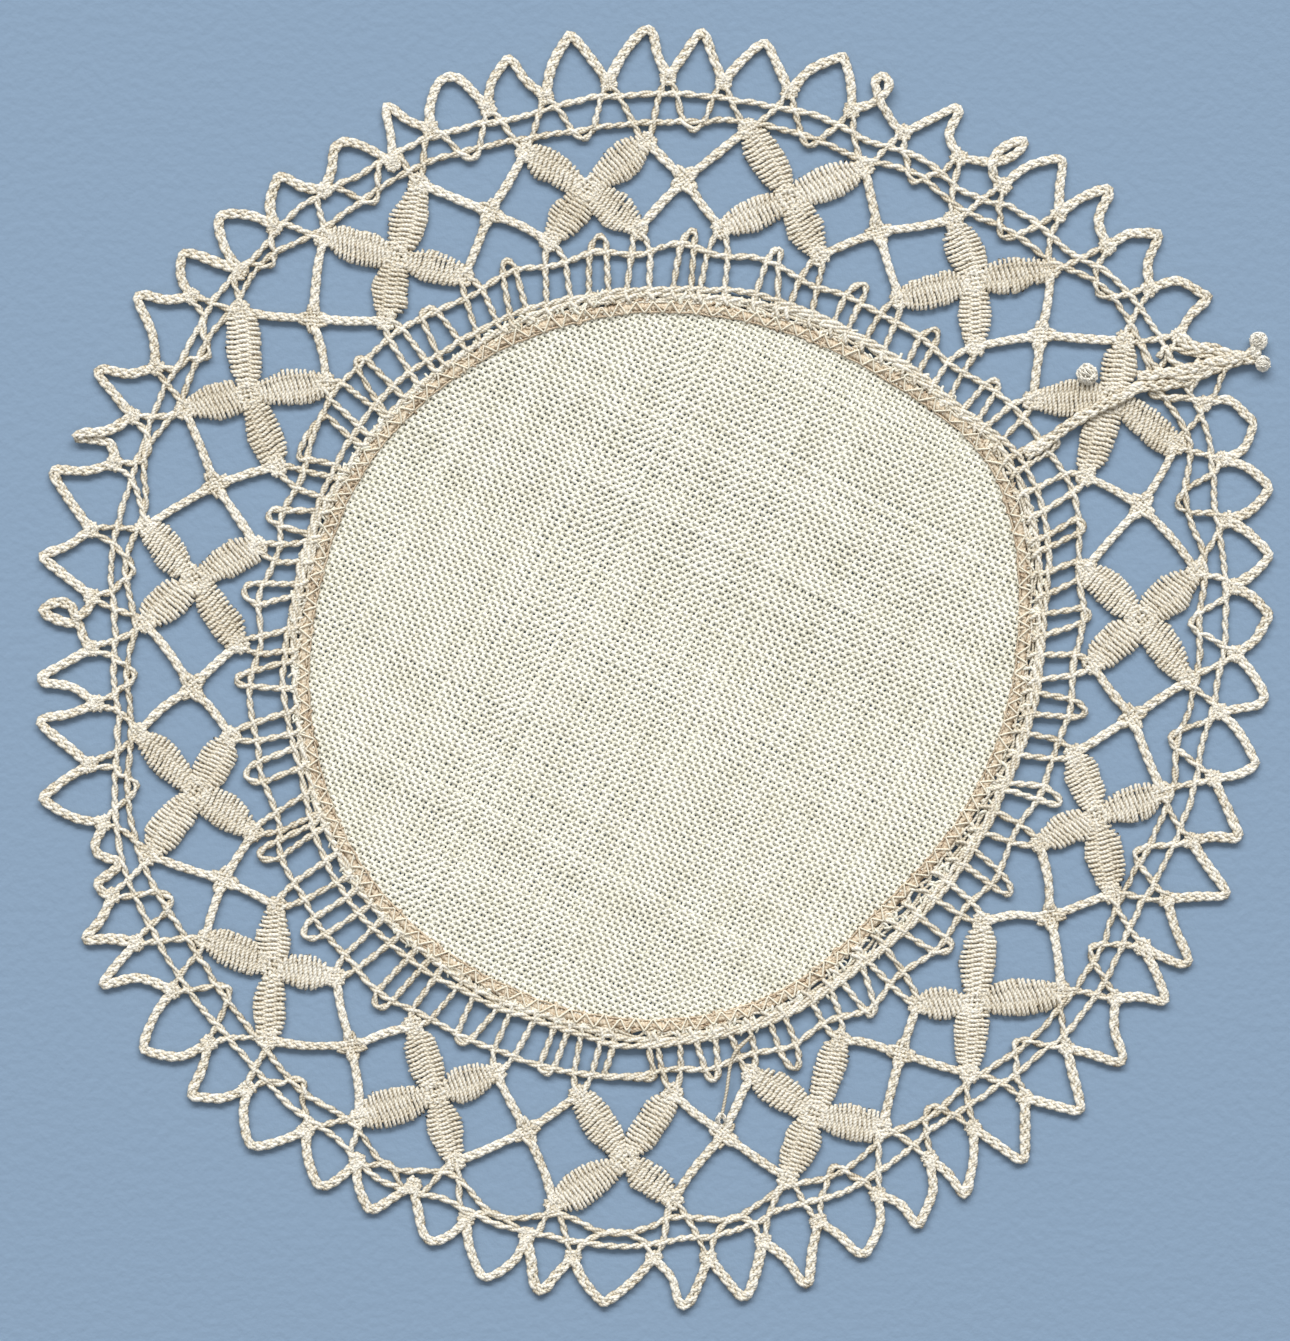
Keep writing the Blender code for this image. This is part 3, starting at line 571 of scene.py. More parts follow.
def twisted_pair(threads, points, closed=False, splay=(0.0, 0.0)):
    """Two threads twisted round each other along a line, tighter in some places than in others.

    They part again at an end that has some splay.
    """
    line = through(points, PAIR_TURN / PAIR_STEPS, closed)
    side = sides_of(line)
    pace = np.cumsum(1.0 + threads.random.normal(0.0, 0.3, len(line)))
    halves = max(1, int(round(2.0 * pace[-1] / PAIR_STEPS)))
    turn = math.pi * halves * (pace - pace[0]) / (pace[-1] - pace[0])
    swing = np.full(len(line), PAIR_SWING)
    places = np.arange(len(line)) * PAIR_TURN / PAIR_STEPS
    for share, past in zip(splay, (places, places[::-1])):
        swing += share * np.clip(1.0 - past / SPLAY_LENGTH, 0.0, 1.0)
    for strand in range(2):
        phase = turn + strand * math.pi
        moved = line + side * (swing * np.cos(phase))[:, None]
        moved[:, 2] += PAIR_SWING * 0.8 * np.sin(phase)
        threads.add(moved, PAIR_HALF)


def sides_of(line):
    """The unit vectors to the right of a line at each of its corners, seen from above."""
    ahead = np.gradient(line, axis=0)
    side = np.column_stack([ahead[:, 1], -ahead[:, 0], np.zeros(len(line))])
    return side / np.maximum(np.linalg.norm(side, axis=1), 1e-9)[:, None]


def woven_patch(threads, middle, way, spacing, reach, gather=0.55, cross_way=None):
    """Two sets of four threads woven over and under each other round a point."""
    cross_way = sideways(way) if cross_way is None else cross_way
    offsets = (np.arange(4) - 1.5) * spacing
    stations = np.concatenate([[-reach, -reach * 0.75], offsets, [reach * 0.75, reach]])
    for first, (ahead, beside) in enumerate(((way, cross_way), (cross_way, way))):
        for number, offset in enumerate(offsets):
            points = []
            for step, station in enumerate(stations):
                inside = 2 <= step <= 5
                spread = 1.0 if inside else (0.85 if step in (1, 6) else gather)
                wave = 0.0
                if inside:
                    wave = 1.0 if (number + step + first) % 2 else -1.0
                jitter = threads.random.normal(0.0, PATCH_JITTER, 2)
                place = middle + ahead * (station + jitter[0]) + beside * (offset * spread + jitter[1])
                points.append(place + UPRIGHT * (wave * PATCH_WAVE))
            threads.add(through(points, 0.3), THREAD_HALF)


def leaf_side(random):
    """How much wider or narrower one side of a leaf is, at five stations along it."""
    return random.normal(0.0, LEAF_RAGGED, 5)


def leaf_half(share, crown, full):
    """Half of a leaf's width at a share of its length: full at its crown, and less at its ends."""
    bow = 1.0 - abs((share - crown) / max(crown, 1.0 - crown)) ** LEAF_BELLY
    return LEAF_END_HALF + (full - LEAF_END_HALF) * bow


def leaf(threads, index, number):
    """A woven leaf: one thread passes to and fro, over and under the leaf's three middle threads."""
    way = leaf_way(index, number)
    side = sideways(way)
    random = threads.random
    length = REPEATS[index].leaves[number][1] - LEAF_STOP - LEAF_START
    full = LEAF_HALF * random.uniform(0.95, 1.08)
    slant = random.normal(LEAF_SLANT, 0.11)
    crown = random.uniform(0.42, 0.58)
    ragged = {-1.0: leaf_side(random), 1.0: leaf_side(random)}
    passes = int(round(length / (LEAF_PASS * random.uniform(0.95, 1.08))))
    pitch = length / passes
    points = []
    for count in range(passes):
        share = (count + 0.5) / passes
        half = leaf_half(share, crown, full)
        turned = -1.0 if count % 2 else 1.0
        lean = slant + random.normal(0.0, 0.025)
        shift = random.normal(0.0, 0.03)
        edge = random.normal(0.0, 0.05)
        near = LEAF_NEAR if count % 2 else 0.0
        for across, over, under, onward in LEAF_WAY:
            along = LEAF_START + pitch * (count + 0.5 + onward + near) + random.normal(0.0, 0.012) + shift
            bulge = ragged[math.copysign(1.0, across * turned)]
            wide = half + edge + np.interp(share * 4.0, range(5), bulge)
            offset = across * turned * wide
            height = over if count % 2 else under
            lift = LEAF_WAVE * height * random.normal(1.0, 0.15)
            place = flower_middle(index) + way * (along + lean * offset) + side * offset
            points.append(place + UPRIGHT * lift)
    threads.add(np.array(points), pitch * 0.72, LEAF_THREAD_HIGH, random.normal(0.5, 0.1))
    for column in LEAF_COLUMNS:
        places = []
        for share in np.linspace(0.0, 1.0, 7):
            offset = column * leaf_half(share, crown, full)
            along = LEAF_START + length * share + slant * offset
            places.append(flower_middle(index) + way * along + side * offset)
        threads.add(through(places, 0.8), 0.2, 0.13, 0.0)


def leaf_ends(threads, index, number):
    """The leaf's own middle threads, where they come out of its two ends."""
    row = REPEATS[index]
    middle = flower_middle(index)
    way = leaf_way(index, number)
    side = sideways(way)
    reach = row.leaves[number][1]
    for strand in range(4):
        offset = (strand - 1.5) * 0.55
        inner = [(0.6, 0.6), (LEAF_START, 0.95), (LEAF_START + 0.8, 1.0)]
        outer = [(reach - LEAF_STOP - 0.8, 1.0), (reach - LEAF_STOP, 0.95), (reach - 0.15, 0.5)]
        for rows in (inner, outer):
            jitter = threads.random.normal(0.0, 0.06)
            points = [middle + way * along + side * (offset * spread + jitter) for along, spread in rows]
            threads.add(through(points, 0.35), THREAD_HALF)


def ladder_stations(name, next_name):
    """The stations round the ladder of a value that each arch and each leaf tip has."""
    stops = ladder_stops()
    stations = []
    for k, arch in enumerate(ARCHES):
        middle, tip = stops[k]
        stations.append((middle % 360.0, getattr(arch, name)))
        if next_name:
            stations.append((clock(tip), getattr(arch, next_name)))
    return stations


def ladder_stops():
    """For each arch of the ladder, its clock angle and the leaf tip that follows it."""
    stops = []
    for index in range(len(REPEATS)):
        left = leaf_tip(index, INNER_LEFT)
        right = leaf_tip(index, INNER_RIGHT)
        next_left = leaf_tip(index + 1, INNER_LEFT)
        stops.append((between(clock(left), clock(right)), right))
        stops.append((between(clock(right), clock(next_left)), next_left))
    return stops


def spot(middle, past, radius, lift=0.0):
    """The point a distance clockwise of an angle, at a radius and a lift over the lace."""
    return polar(aside(middle, radius, past), radius, LACE_LEVEL + lift)


def arch_top(arch, middle, pin):
    """The places of an arch over its pin, or of the flat run where the pair has no arch."""
    if arch.top is None:
        return [spot(middle, arch.left * 0.5, pin), spot(middle, arch.right * 0.5, pin)]
    wide = (arch.right - arch.left) / 2
    centre = (arch.right + arch.left) / 2
    places = []
    for share, spread in ARCH_SHAPE:
        past = centre + (arch.top - centre) * share + wide * spread
        places.append(spot(middle, past, arch.line + (pin - arch.line) * share))
    return places


def rung(middle, leg, foot, line):
    """A ladder leg's places, from under the sewn edge to the ladder's outer line."""
    inner = around(middle % 360.0, FOOT_STATIONS)
    sewn = seam_radius(middle) + RUNG_FOOT
    return [
        spot(middle, foot * 1.08, sewn, 0.3),
        spot(middle, foot, inner, 0.14),
        spot(middle, leg + (foot - leg) * 0.3, line - 1.2, 0.08),
        spot(middle, leg, line),
    ]


def pin_turn(left, right, pin, outwards):
    """A pair's way down one side to a pin as a wide V, and up the other side."""
    side = sideways(-outwards)
    room = min(1.0, max(0.3, (np.hypot(*left[-1][:2]) - np.hypot(*pin[:2]) - 0.6) / 1.8))
    down = [(1.55, 1.8 * room, -0.14), (1.2, 1.0 * room, 0.14), (0.45, 0.25, 0.0)]
    first = [pin - side * past - outwards * far + UPRIGHT * lift for past, far, lift in down]
    second = [pin + side * past - outwards * far - UPRIGHT * lift for past, far, lift in down]
    return [*left, *first, pin, *second[::-1], *right]


def ladder(threads):
    """The ladder at the lace's foot: its legs in pairs, then the lines that cross them."""
    stops = ladder_stops()
    for k, arch in enumerate(ARCHES):
        middle, tip = stops[k]
        pin = REPEATS[k // 2].pins[2 + k % 2]
        left = rung(middle, arch.left, arch.foot_left, arch.line)
        right = rung(middle, arch.right, arch.foot_right, arch.line)
        places = [*left, *arch_top(arch, middle, pin), *right[::-1]]
        twisted_pair(threads, places, splay=(FOOT_SPLAY, FOOT_SPLAY))
        after = ARCHES[(k + 1) % len(ARCHES)]
        lean = (arch.foot_left + arch.foot_right + after.foot_left + after.foot_right
                - arch.left - arch.right - after.left - after.right) / 4
        for way in (-1.0, 1.0):
            past = TIP_LEG * way * threads.random.uniform(0.85, 1.15)
            leg = rung(clock(tip), past, past * 1.2 + lean, arch.next_line)
            twisted_pair(threads, [*leg, tip + sideways(tip) * way * 0.45], splay=(FOOT_SPLAY, 0.0))
    ladder_lines(threads)


def ladder_lines(threads):
    """The lines that run round the ladder across its legs, and the threads at its sewn edge."""
    steps = np.arange(LADDER_STEPS) * (360.0 / LADDER_STEPS)
    lines = (
        (LINE_STATIONS, 0.0, 0.05, 0.0),
        (FOOT_STATIONS, 0.0, 0.06, 0.18),
        (FOOT_STATIONS, -0.55, 0.1, 0.16),
    )
    for stations, past, swing, lift in lines:
        radii = [around(a, stations) + past + threads.random.normal(0.0, swing) for a in steps]
        if past:
            radii = [min(r, seam_radius(a) + around(a, FRAY_STATIONS) - 0.2) for r, a in zip(radii, steps)]
        ring = [polar(a, radius, LACE_LEVEL + lift) for a, radius in zip(steps, radii)]
        twisted_pair(threads, ring, closed=True)
    for number in range(FOOT_THREADS):
        share = (number + 0.5) / FOOT_THREADS
        edge_ring(threads, ROLL_WIDE, 0.66 - 0.1 * share, 0.2, 190, 0.19, spread=share)


def loop_middle(count):
    """The clock angle half way from a rim knot to the next."""
    return between(knot(count)[0], knot(count + 1)[0])


def outer_stations():
    """The outer trail as (angle, radius), at the middle of each loop of the rim."""
    return [(loop_middle(count) % 360.0, EDGES[count // 4].outer[count % 4]) for count in range(KNOTS)]


def inner_stations():
    """The inner trail as (angle, radius): at the outer leaves' tips and just outside the pins."""
    stations = []
    for count in range(KNOTS):
        index, kind = divmod(count, 4)
        if kind in (0, 2):
            radius = EDGES[index].inner[kind // 2]
        else:
            radius = REPEATS[index].pins[kind // 2] + PIN_GAP
        stations.append((loop_middle(count) % 360.0, radius))
    return stations


def trail(threads):
    """The pairs from the rim's knots, and the double trail inside the rim that they cross."""
    for count in range(KNOTS):
        index, kind = divmod(count, 4)
        left = knot_exit(count, 1.0)
        right = knot_exit(count + 1, -1.0)
        if kind in (0, 2):
            tip = leaf_tip(index, OUTER_LEFT if kind == 0 else OUTER_RIGHT)
            side = sideways(tip)
            twisted_pair(threads, [*left, tip - side * TIP_SIDE])
            twisted_pair(threads, [*right, tip + side * TIP_SIDE])
        else:
            twisted_pair(threads, trail_turn(index, kind // 2, left, right[::-1]))
    for stations in (OUTER_STATIONS, INNER_STATIONS):
        ring = []
        for count in range(KNOTS):
            for share in TRAIL_SHARES:
                angle = between(knot(count)[0], knot(count + 1)[0], share)
                radius = around(angle % 360.0, stations) + threads.random.normal(0.0, TRAIL_SWAY)
                ring.append(polar(angle, radius))
        twisted_pair(threads, ring, closed=True)


def trail_turn(index, number, left, right):
    """A pair's way from one rim knot to the next, round a pin or flat along the inner line."""
    angle = loop_middle(4 * index + 2 * number + 1)
    radius = REPEATS[index].pins[number]
    if (index, number) in FLAT_TURNS:
        return [*left, polar(angle, radius + PIN_GAP * FLAT_SHARE), *right]
    return pin_turn(left, right, polar(angle, radius - PIN_DEEP), unit(polar(angle, -1.0, 0.0)))


def rim_loop(count):
    """Middle line of the rim loop after a knot, from knot to knot."""
    row = REPEATS[(count // 4) % len(REPEATS)]
    start = polar(*knot(count))
    end = polar(*knot(count + 1))
    if count in FALLEN_LOOPS:
        return [start, *(start + np.array(place) for place in FALLEN_LOOPS[count]), end]
    left_bulge, right_bulge, half = EDGES[count // 4].loops[count % 4]
    tip = polar(*row.tips[count % 4])
    side = unit(end - start)
    outwards = straight_out(tip)
    left_top = tip - side * half - outwards * (0.22 + 0.25 * half)
    right_top = tip + side * half - outwards * (0.22 + 0.25 * half)
    left = start + (left_top - start) * 0.5 - sideways(left_top - start) * left_bulge
    right = end + (right_top - end) * 0.5 + sideways(right_top - end) * right_bulge
    return [start, left, left_top, tip, right_top, right, end]


def rim(threads):
    """The plaited loops of the rim."""
    for count in range(KNOTS):
        if count != JOIN_LOOP:
            plait(threads, rim_loop(count))


def arms(threads):
    """The plaits that leave the leaf tips and cross between the flowers."""
    for index, row in enumerate(REPEATS):
        crossing = polar(*row.crossing)
        following = index + 1
        for tip in (leaf_tip(index, OUTER_RIGHT), leaf_tip(index, INNER_RIGHT),
                    leaf_tip(following, OUTER_LEFT), leaf_tip(following, INNER_LEFT)):
            way = unit(crossing - tip)
            end = crossing - way * 0.9
            bend = sideways(way) * threads.random.normal(0.0, 0.18)
            plait(threads, [tip, (tip + end) / 2 + bend, end], ARM_SWING)


def crossings(threads):
    """The woven patches where the plaits cross, and those in the flowers' middles and at tips."""
    for index, row in enumerate(REPEATS):
        crossing = polar(*row.crossing)
        first = unit(leaf_tip(index + 1, INNER_LEFT) - leaf_tip(index, OUTER_RIGHT))
        second = unit(leaf_tip(index + 1, OUTER_LEFT) - leaf_tip(index, INNER_RIGHT))
        woven_patch(threads, crossing, first, 0.43, 1.7, cross_way=second)
        first = unit(leaf_way(index, OUTER_LEFT) - leaf_way(index, INNER_RIGHT))
        second = unit(leaf_way(index, OUTER_RIGHT) - leaf_way(index, INNER_LEFT))
        woven_patch(threads, flower_middle(index), first, 0.6, 1.6, 1.0, cross_way=second)


def knots(threads):
    """The small woven knots at the rim and at the leaf tips."""
    for count in range(KNOTS):
        place = polar(*knot(count))
        woven_patch(threads, place, straight_out(place), 0.36, 0.95)
    for leaf_place in LEAVES:
        woven_patch(threads, leaf_tip(*leaf_place), leaf_way(*leaf_place), 0.47, 1.1, 0.7)


def linen(threads, turn, pitch, cross_pitch, width, phase):
    """One of the linen's two sets of threads, waved over and under the other set."""
    ahead = polar(90.0 - turn, 1.0, 0.0)
    side = sideways(ahead)
    radii = np.array([seam_radius(a) for a in np.arange(0.0, 360.0, 2.0)]) + HEM_REACH
    reach = int(radii.max() / min(pitch, cross_pitch)) + 1
    order = np.arange(-reach, reach + 1)
    random = threads.random
    shift = np.cumsum(random.normal(0.0, 0.026, len(order)))
    shift -= np.linspace(0.0, shift[-1], len(order))
    shift += random.normal(0.0, 0.026, len(order))
    for number, offset in enumerate(order * pitch + shift):
        line = ahead * (order * cross_pitch)[:, None] + side * offset
        angles = np.degrees(np.arctan2(line[:, 0], line[:, 1])) % 360.0
        edge = np.interp(angles, np.arange(0.0, 362.0, 2.0), np.append(radii, radii[0]))
        distance = np.hypot(line[:, 0], line[:, 1])
        inside = distance < edge
        if inside.sum() < 4:
            continue
        line = line[inside]
        past = (distance - (edge - HEM_REACH))[inside]
        rise = HEM_RISE * np.clip(past / 0.8 + 0.4, 0.0, 1.0)
        wave = np.where((order[inside] + number + phase) % 2 == 0, 1.0, -1.0)
        drift = np.cumsum(random.normal(0.0, 0.006, len(line)))
        drift -= np.linspace(0.0, drift[-1], len(line))
        line = line + side * (drift + random.normal(0.0, 0.014, len(line)))[:, None]
        line[:, 2] = CLOTH_LEVEL + rise + wave * CLOTH_WAVE
        slubs = np.convolve(random.normal(0.0, 1.0, len(line) + 6), np.ones(7) / 7.0, "valid")
        half = width * random.normal(1.0, 0.05) * (1.0 + 0.12 * slubs + CLOTH_PILLOW * wave)
        threads.add(line, half, CLOTH_HIGH)


def seam(threads):
    """The rolled edge of the linen, and the zigzag that sews the lace to it."""
    random = threads.random
    # The roll's dark tan base under its short ends: partly the roll's own tan, partly painted shade in the gaps
    # between the ends.
    edge_ring(threads, 0.66, 0.6, 0.08, 230, 0.58, 0.05)
    # A thin dark thread at the linen's edge: partly a real cord, partly painted shade of the crease beside the
    # roll.
    edge_ring(threads, 0.0, 0.72, 0.05, 300, 0.12, 0.1)
    short_ends(threads, ROLL_BITS, (0.08, 1.35), (0.74, 0.86), 90.0, (-0.3, 0.4))
    count = int(round(2 * math.pi * SEAM_MIDDLE / STITCH_PITCH))
    points = []
    for k in range(2 * count):
        angle = 180.0 * (k + random.normal(0.0, 0.12)) / count
        outside = k % 2
        radius = seam_radius(angle) + (STITCH_OUT if outside else -0.06) + random.normal(0.0, 0.1)
        points.append(polar(angle, radius, 1.02 if outside else 0.86))
    points.append(points[0])
    threads.add(resample(np.array(points), 0.3), STITCH_HALF, STITCH_HALF, 1.15)


def knot_exit(count, turn):
    """How a pair leaves a rim knot inwards: from the knot, then over the outer trail."""
    angle, radius = knot(count)
    line = around(angle % 360.0, OUTER_STATIONS)
    start = polar(aside(angle, radius, 0.35 * turn), radius - 0.3)
    return [start, polar(aside(angle, radius, 1.05 * turn), line)]


def edge_ring(threads, past, level, swing, steps, half, shade=None, spread=0.0):
    """One thread that runs round the sewn edge, wandering a little in and out.

    Its distance from the linen is past, and a share called spread of the way on to the fray's end.
    """
    random = threads.random
    angles = (np.arange(steps) + random.uniform(-0.3, 0.3, steps)) * 360.0 / steps
    wander = random.normal(0.0, swing, steps)
    rise = random.normal(0.0, swing * 0.35, steps)
    ring = []
    for angle, aside_by, lift in zip(angles, wander, rise):
        far = past + spread * (around(angle, FRAY_STATIONS) - past)
        ring.append(polar(angle, seam_radius(angle) + far + aside_by, level + lift))
    threads.add(through(ring, 0.4, closed=True), half, min(half * 0.85, 0.22), shade)


def tuft(threads, middle, way, reach, count):
    """The frayed, brushed-out end of cut threads: fine fibres that curl out of a root."""
    random = threads.random
    root = middle - way * reach * 0.8
    for _ in range(count):
        spread = unit(random.normal(0.0, 1.0, 3) * np.array((1.0, 1.0, 0.4)))
        bent = unit(spread + way * 0.6 + np.append(random.normal(0.0, 0.5, 2), 0.0))
        belly = middle + spread * reach * random.uniform(0.6, 0.95)
        end = middle + bent * reach * random.uniform(0.5, 1.0)
        places = np.array((root, belly, end))
        places[:, 2] = np.maximum(places[:, 2], 0.15)
        threads.add(through(places, 0.3), random.uniform(0.08, 0.14), shade=1.9)


def strand(threads, points, half=THREAD_HALF):
    """One loose thread through the points."""
    threads.add(through(points, 0.35), half)


def join(threads):
    """The lace's join: its threads lie plaited over a flower, out to two knotted, cut ends."""
    for places in JOIN_PLAITS:
        plait(threads, [np.array(place) for place in places], 0.48, THREAD_HALF * 1.1)
    for places in JOIN_STRANDS:
        twisted_pair(threads, [np.array(place) for place in places])
    for right, up, reach, way, count in JOIN_TUFTS:
        tuft(threads, np.array((right, up, 0.75)), polar(way, 1.0, 0.0), reach, count)


def loose_threads(threads):
    """A single thread that broke and trails over one flower gap, with a frayed end."""
    strand(threads, [np.array(place) for place in BROKEN_THREAD], THREAD_HALF * 0.8)
    end = np.array(BROKEN_THREAD[-1])
    tuft(threads, end, polar(180.0, 1.0, 0.0), 0.8, 12)


def short_ends(threads, count, reach, levels, turn, shades):
    """Short frayed ends strewn round the seam, which lie at a turn from straight outwards.

    They start at the first reach from the linen and go to the second, or to the end of the fray.
    """
    random = threads.random
    for _ in range(count):
        angle = random.uniform(0.0, 360.0)
        far = reach[1] or around(angle, FRAY_STATIONS) + 0.1
        middle = polar(angle, seam_radius(angle) + random.uniform(reach[0], far), random.uniform(*levels))
        way = polar(angle + random.normal(turn, 38.0), 1.0, 0.0)
        length = random.uniform(0.3, 0.7)
        dip = UPRIGHT * 0.18
        bend = sideways(way) * random.normal(0.0, 0.2)
        points = [middle - way * length - dip, middle + bend, middle + way * length - dip]
        threads.add(through(points, 0.3), random.uniform(0.12, 0.2), 0.13, random.uniform(*shades))


def colour(red, green, blue):
    """A picture colour from 0 to 255 as the linear values that a shader takes."""
    shares = [value / 255.0 for value in (red, green, blue)]
    linear = [s / 12.92 if s <= 0.04045 else ((s + 0.055) / 1.055) ** 2.4 for s in shares]
    return (*linear, 1.0)


def math_node(tree, operation, first, second=None):
    """The result of a math node on one or two values, each a socket or a number."""
    node = tree.nodes.new("ShaderNodeMath")
    node.operation = operation
    for socket, value in zip(node.inputs, (first, second)):
        if isinstance(value, (int, float)):
            socket.default_value = value
        elif value is not None:
            tree.links.new(value, socket)
    return node.outputs[0]


def new_material(name, roughness):
    """A material with its node tree and its shader, at one roughness."""
    made = bpy.data.materials.new(name)
    made.use_nodes = True
    shader = made.node_tree.nodes["Principled BSDF"]
    shader.inputs["Roughness"].default_value = roughness
    return made, shader


def noise(tree, scale, detail):
    """Noise that stays fixed to the piece, as a socket."""
    place = tree.nodes.new("ShaderNodeTexCoord")
    made = tree.nodes.new("ShaderNodeTexNoise")
    made.inputs["Scale"].default_value = scale
    made.inputs["Detail"].default_value = detail
    tree.links.new(place.outputs["Object"], made.inputs["Vector"])
    return made.outputs[0]


def add_bump(tree, shader, height, strength, distance):
    """Bump on a shader from a height socket, with its distance in metres."""
    bump = tree.nodes.new("ShaderNodeBump")
    bump.inputs["Strength"].default_value = strength
    bump.inputs["Distance"].default_value = distance
    tree.links.new(height, bump.inputs["Height"])
    tree.links.new(bump.outputs[0], shader.inputs["Normal"])


def attribute(tree, name, output):
    """A value that the mesh keeps at each point, as a socket."""
    made = tree.nodes.new("ShaderNodeAttribute")
    made.attribute_name = name
    return made.outputs[output]


def thread_material(name, colours, ply_pitch, ply_depth, roughness=0.85, own=0.25):
    """Matt spun thread: two plies that wind round each other, with painted light on top and painted shade where
    it dips.

    A thread's own number shifts its tone by the share called own, with blotches and pale fibres.
    """
    made, shader = new_material(name, roughness)
    shader.inputs["Specular IOR Level"].default_value = 0.3
    tree = made.node_tree
    parts = tree.nodes.new("ShaderNodeSeparateXYZ")
    tree.links.new(attribute(tree, "thread", "Vector"), parts.inputs[0])
    along, turn, number = parts.outputs
    wound = math_node(tree, "ADD", math_node(tree, "DIVIDE", along, ply_pitch),
                      math_node(tree, "MULTIPLY", turn, 2.0))
    ply = math_node(tree, "SINE", math_node(tree, "MULTIPLY", wound, 2 * math.pi))
    blotches = noise(tree, 260.0, 4.0)
    fibres = noise(tree, 4200.0, 3.0)
    tone = 0.0
    # Blotches, the thread's own number, fibres and plies give its own tone; the rise share adds painted light
    # where it rises and painted shade where it dips.
    for value, share in ((blotches, 0.4), (number, own), (fibres, 0.35), (ply, 0.1),
                         (attribute(tree, "rise", "Fac"), 0.3)):
        tone = math_node(tree, "ADD", math_node(tree, "MULTIPLY", value, share), tone)
    ramp = tree.nodes.new("ShaderNodeValToRGB")
    stops = ramp.color_ramp.elements
    stops.new(0.55)
    for stop, position, shade in zip(stops, (0.2, 0.55, 0.9), colours):
        stop.position = position
        stop.color = colour(*shade)
    tree.links.new(tone, ramp.inputs[0])
    tree.links.new(ramp.outputs[0], shader.inputs["Base Color"])
    height = math_node(tree, "ADD", math_node(tree, "MULTIPLY", ply, 0.5),
                       math_node(tree, "MULTIPLY", fibres, 0.5))
    add_bump(tree, shader, height, 0.8, ply_depth * MM)
    return made


def place_piece(piece):
    """Sets a finished piece on the mat's one body."""
    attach(piece, BODY)
    return piece


def floor_material():
    """A plain pale blue felted floor."""
    made, shader = new_material("floor_felt", 0.95)
    shader.inputs["Base Color"].default_value = colour(*FLOOR_COLOUR)
    add_bump(made.node_tree, shader, noise(made.node_tree, 900.0, 6.0), 0.3, 0.0004)
    return made


def make_floor():
    """The pale floor that the mat lies on."""
    mesh = bpy.data.meshes.new("floor")
    corners = [(x * FLOOR_HALF, y * FLOOR_HALF, 0) for x, y in ((-1, -1), (1, -1), (1, 1), (-1, 1))]
    mesh.from_pydata(corners, [], [(0, 1, 2, 3)])
    mesh.materials.append(floor_material())
    floor = bpy.data.objects.new("floor", mesh)
    bpy.context.collection.objects.link(floor)


def make_camera():
    """A camera straight above the mat, far enough off to see it almost without perspective."""
    data = bpy.data.cameras.new("camera")
    data.sensor_fit = "VERTICAL"
    data.sensor_height = SENSOR
    data.lens = LENS
    data.clip_start = 0.01
    camera = bpy.data.objects.new("camera", data)
    distance = LENS / SENSOR * PICTURE_HEIGHT
    camera.location = (PICTURE_MIDDLE[0] * MM, PICTURE_MIDDLE[1] * MM, distance * MM)
    bpy.context.collection.objects.link(camera)
    bpy.context.scene.camera = camera


def area_light(name, place, size, power, warmth):
    """A soft light, as wide and high as its size says, that looks at the mat."""
    data = bpy.data.lights.new(name, "AREA")
    data.shape = "RECTANGLE"
    data.size, data.size_y = size
    data.energy = power
    data.color = warmth
    light = bpy.data.objects.new(name, data)
    light.location = place
    tilt = math.acos(place[2] / np.linalg.norm(place))
    heading = math.atan2(place[1], place[0]) + math.pi / 2
    light.rotation_euler = (tilt, 0.0, heading)
    bpy.context.collection.objects.link(light)


def make_light():
    """Soft studio light, strongest from a long lamp far beyond the mat's top edge."""
    world = bpy.data.worlds.new("studio")
    world.use_nodes = True
    background = world.node_tree.nodes["Background"]
    background.inputs[0].default_value = (1.0, 1.0, 1.0, 1.0)
    background.inputs[1].default_value = WORLD_LIGHT
    bpy.context.scene.world = world
    area_light("key", KEY_PLACE, KEY_SIZE, KEY_POWER, KEY_COLOUR)
    bpy.context.scene.view_settings.view_transform = "Standard"


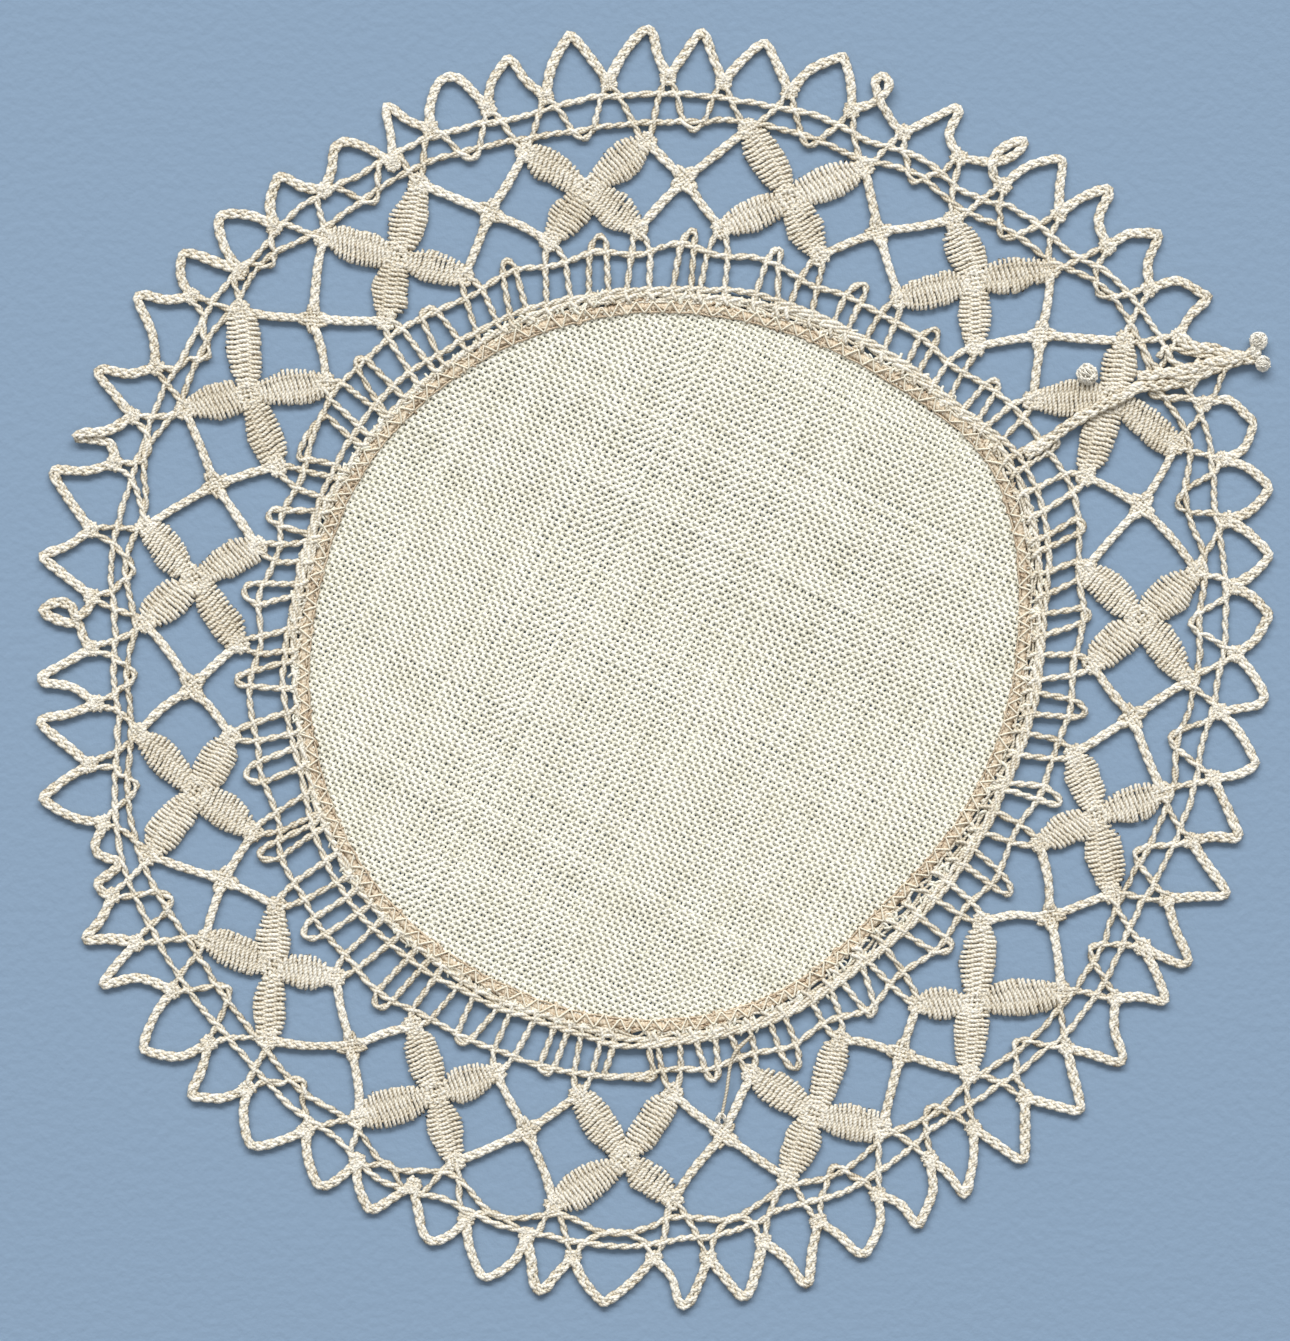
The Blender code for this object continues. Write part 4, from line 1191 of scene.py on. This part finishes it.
def main():
    """Builds the mat's pieces, then the floor, the light and the camera."""
    make_linen(thread_material("linen_look", CLOTH_COLOURS, 0.45, 0.03))
    stitches = Threads("seam_zigzag", FINE_SIDES, 21)
    seam(stitches)
    sewing = thread_material("sewing_look", SEWING_COLOURS, 0.4, 0.03, own=0.5)
    place_piece(stitches.build(sewing))
    make_lace(thread_material("lace_thread_look", LACE_COLOURS, 0.4, 0.06))
    make_floor()
    make_light()
    make_camera()


def make_linen(cloth):
    """The linen's warp, weft and frayed hem."""
    warp = Threads("linen_warp", FINE_SIDES, 11, 0.0)
    linen(warp, CLOTH_TURN, WARP_PITCH, WEFT_PITCH, WARP_HALF, 0)
    warp = place_piece(warp.build(cloth))
    weft = Threads("linen_weft", FINE_SIDES, 12, 0.0)
    linen(weft, CLOTH_TURN + 90.0, WEFT_PITCH, WARP_PITCH, WEFT_HALF, 1)
    weft = place_piece(weft.build(cloth))
    hem = Threads("linen_hem", FINE_SIDES, 13)
    short_ends(hem, RAW_ENDS, (ROLL_WIDE, None), (0.62, 0.92), 0.0, (0.3, 1.0))
    hem = place_piece(hem.build(cloth))
    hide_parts("linen_centre")


def make_lace(lace):
    """The lace's plaits, leaves, ladder, trail, knots and join."""
    plaits = Threads("lace_plaits", LACE_SIDES, 31)
    rim(plaits)
    arms(plaits)
    leaves = Threads("lace_leaves", LACE_SIDES, 32)
    for leaf_place in LEAVES:
        leaf(leaves, *leaf_place)
    pairs = Threads("lace_ladder", FINE_SIDES, 33)
    ladder(pairs)
    trails = Threads("lace_trail", FINE_SIDES, 34)
    trail(trails)
    woven = Threads("lace_knots", FINE_SIDES, 35)
    crossings(woven)
    knots(woven)
    for leaf_place in LEAVES:
        leaf_ends(woven, *leaf_place)
    joined = Threads("lace_join", FINE_SIDES, 36, 0.35)
    join(joined)
    loose_threads(joined)
    groups = (plaits, leaves, pairs, trails, woven, joined)
    pieces = [place_piece(group.build(lace)) for group in groups]
    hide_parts("lace_border")


OUTER_STATIONS = outer_stations()
INNER_STATIONS = inner_stations()
LINE_STATIONS = ladder_stations("line", "next_line")
FOOT_STATIONS = ladder_stations("foot", None)
FRAY_STATIONS = ladder_stations("fray", None)
main()
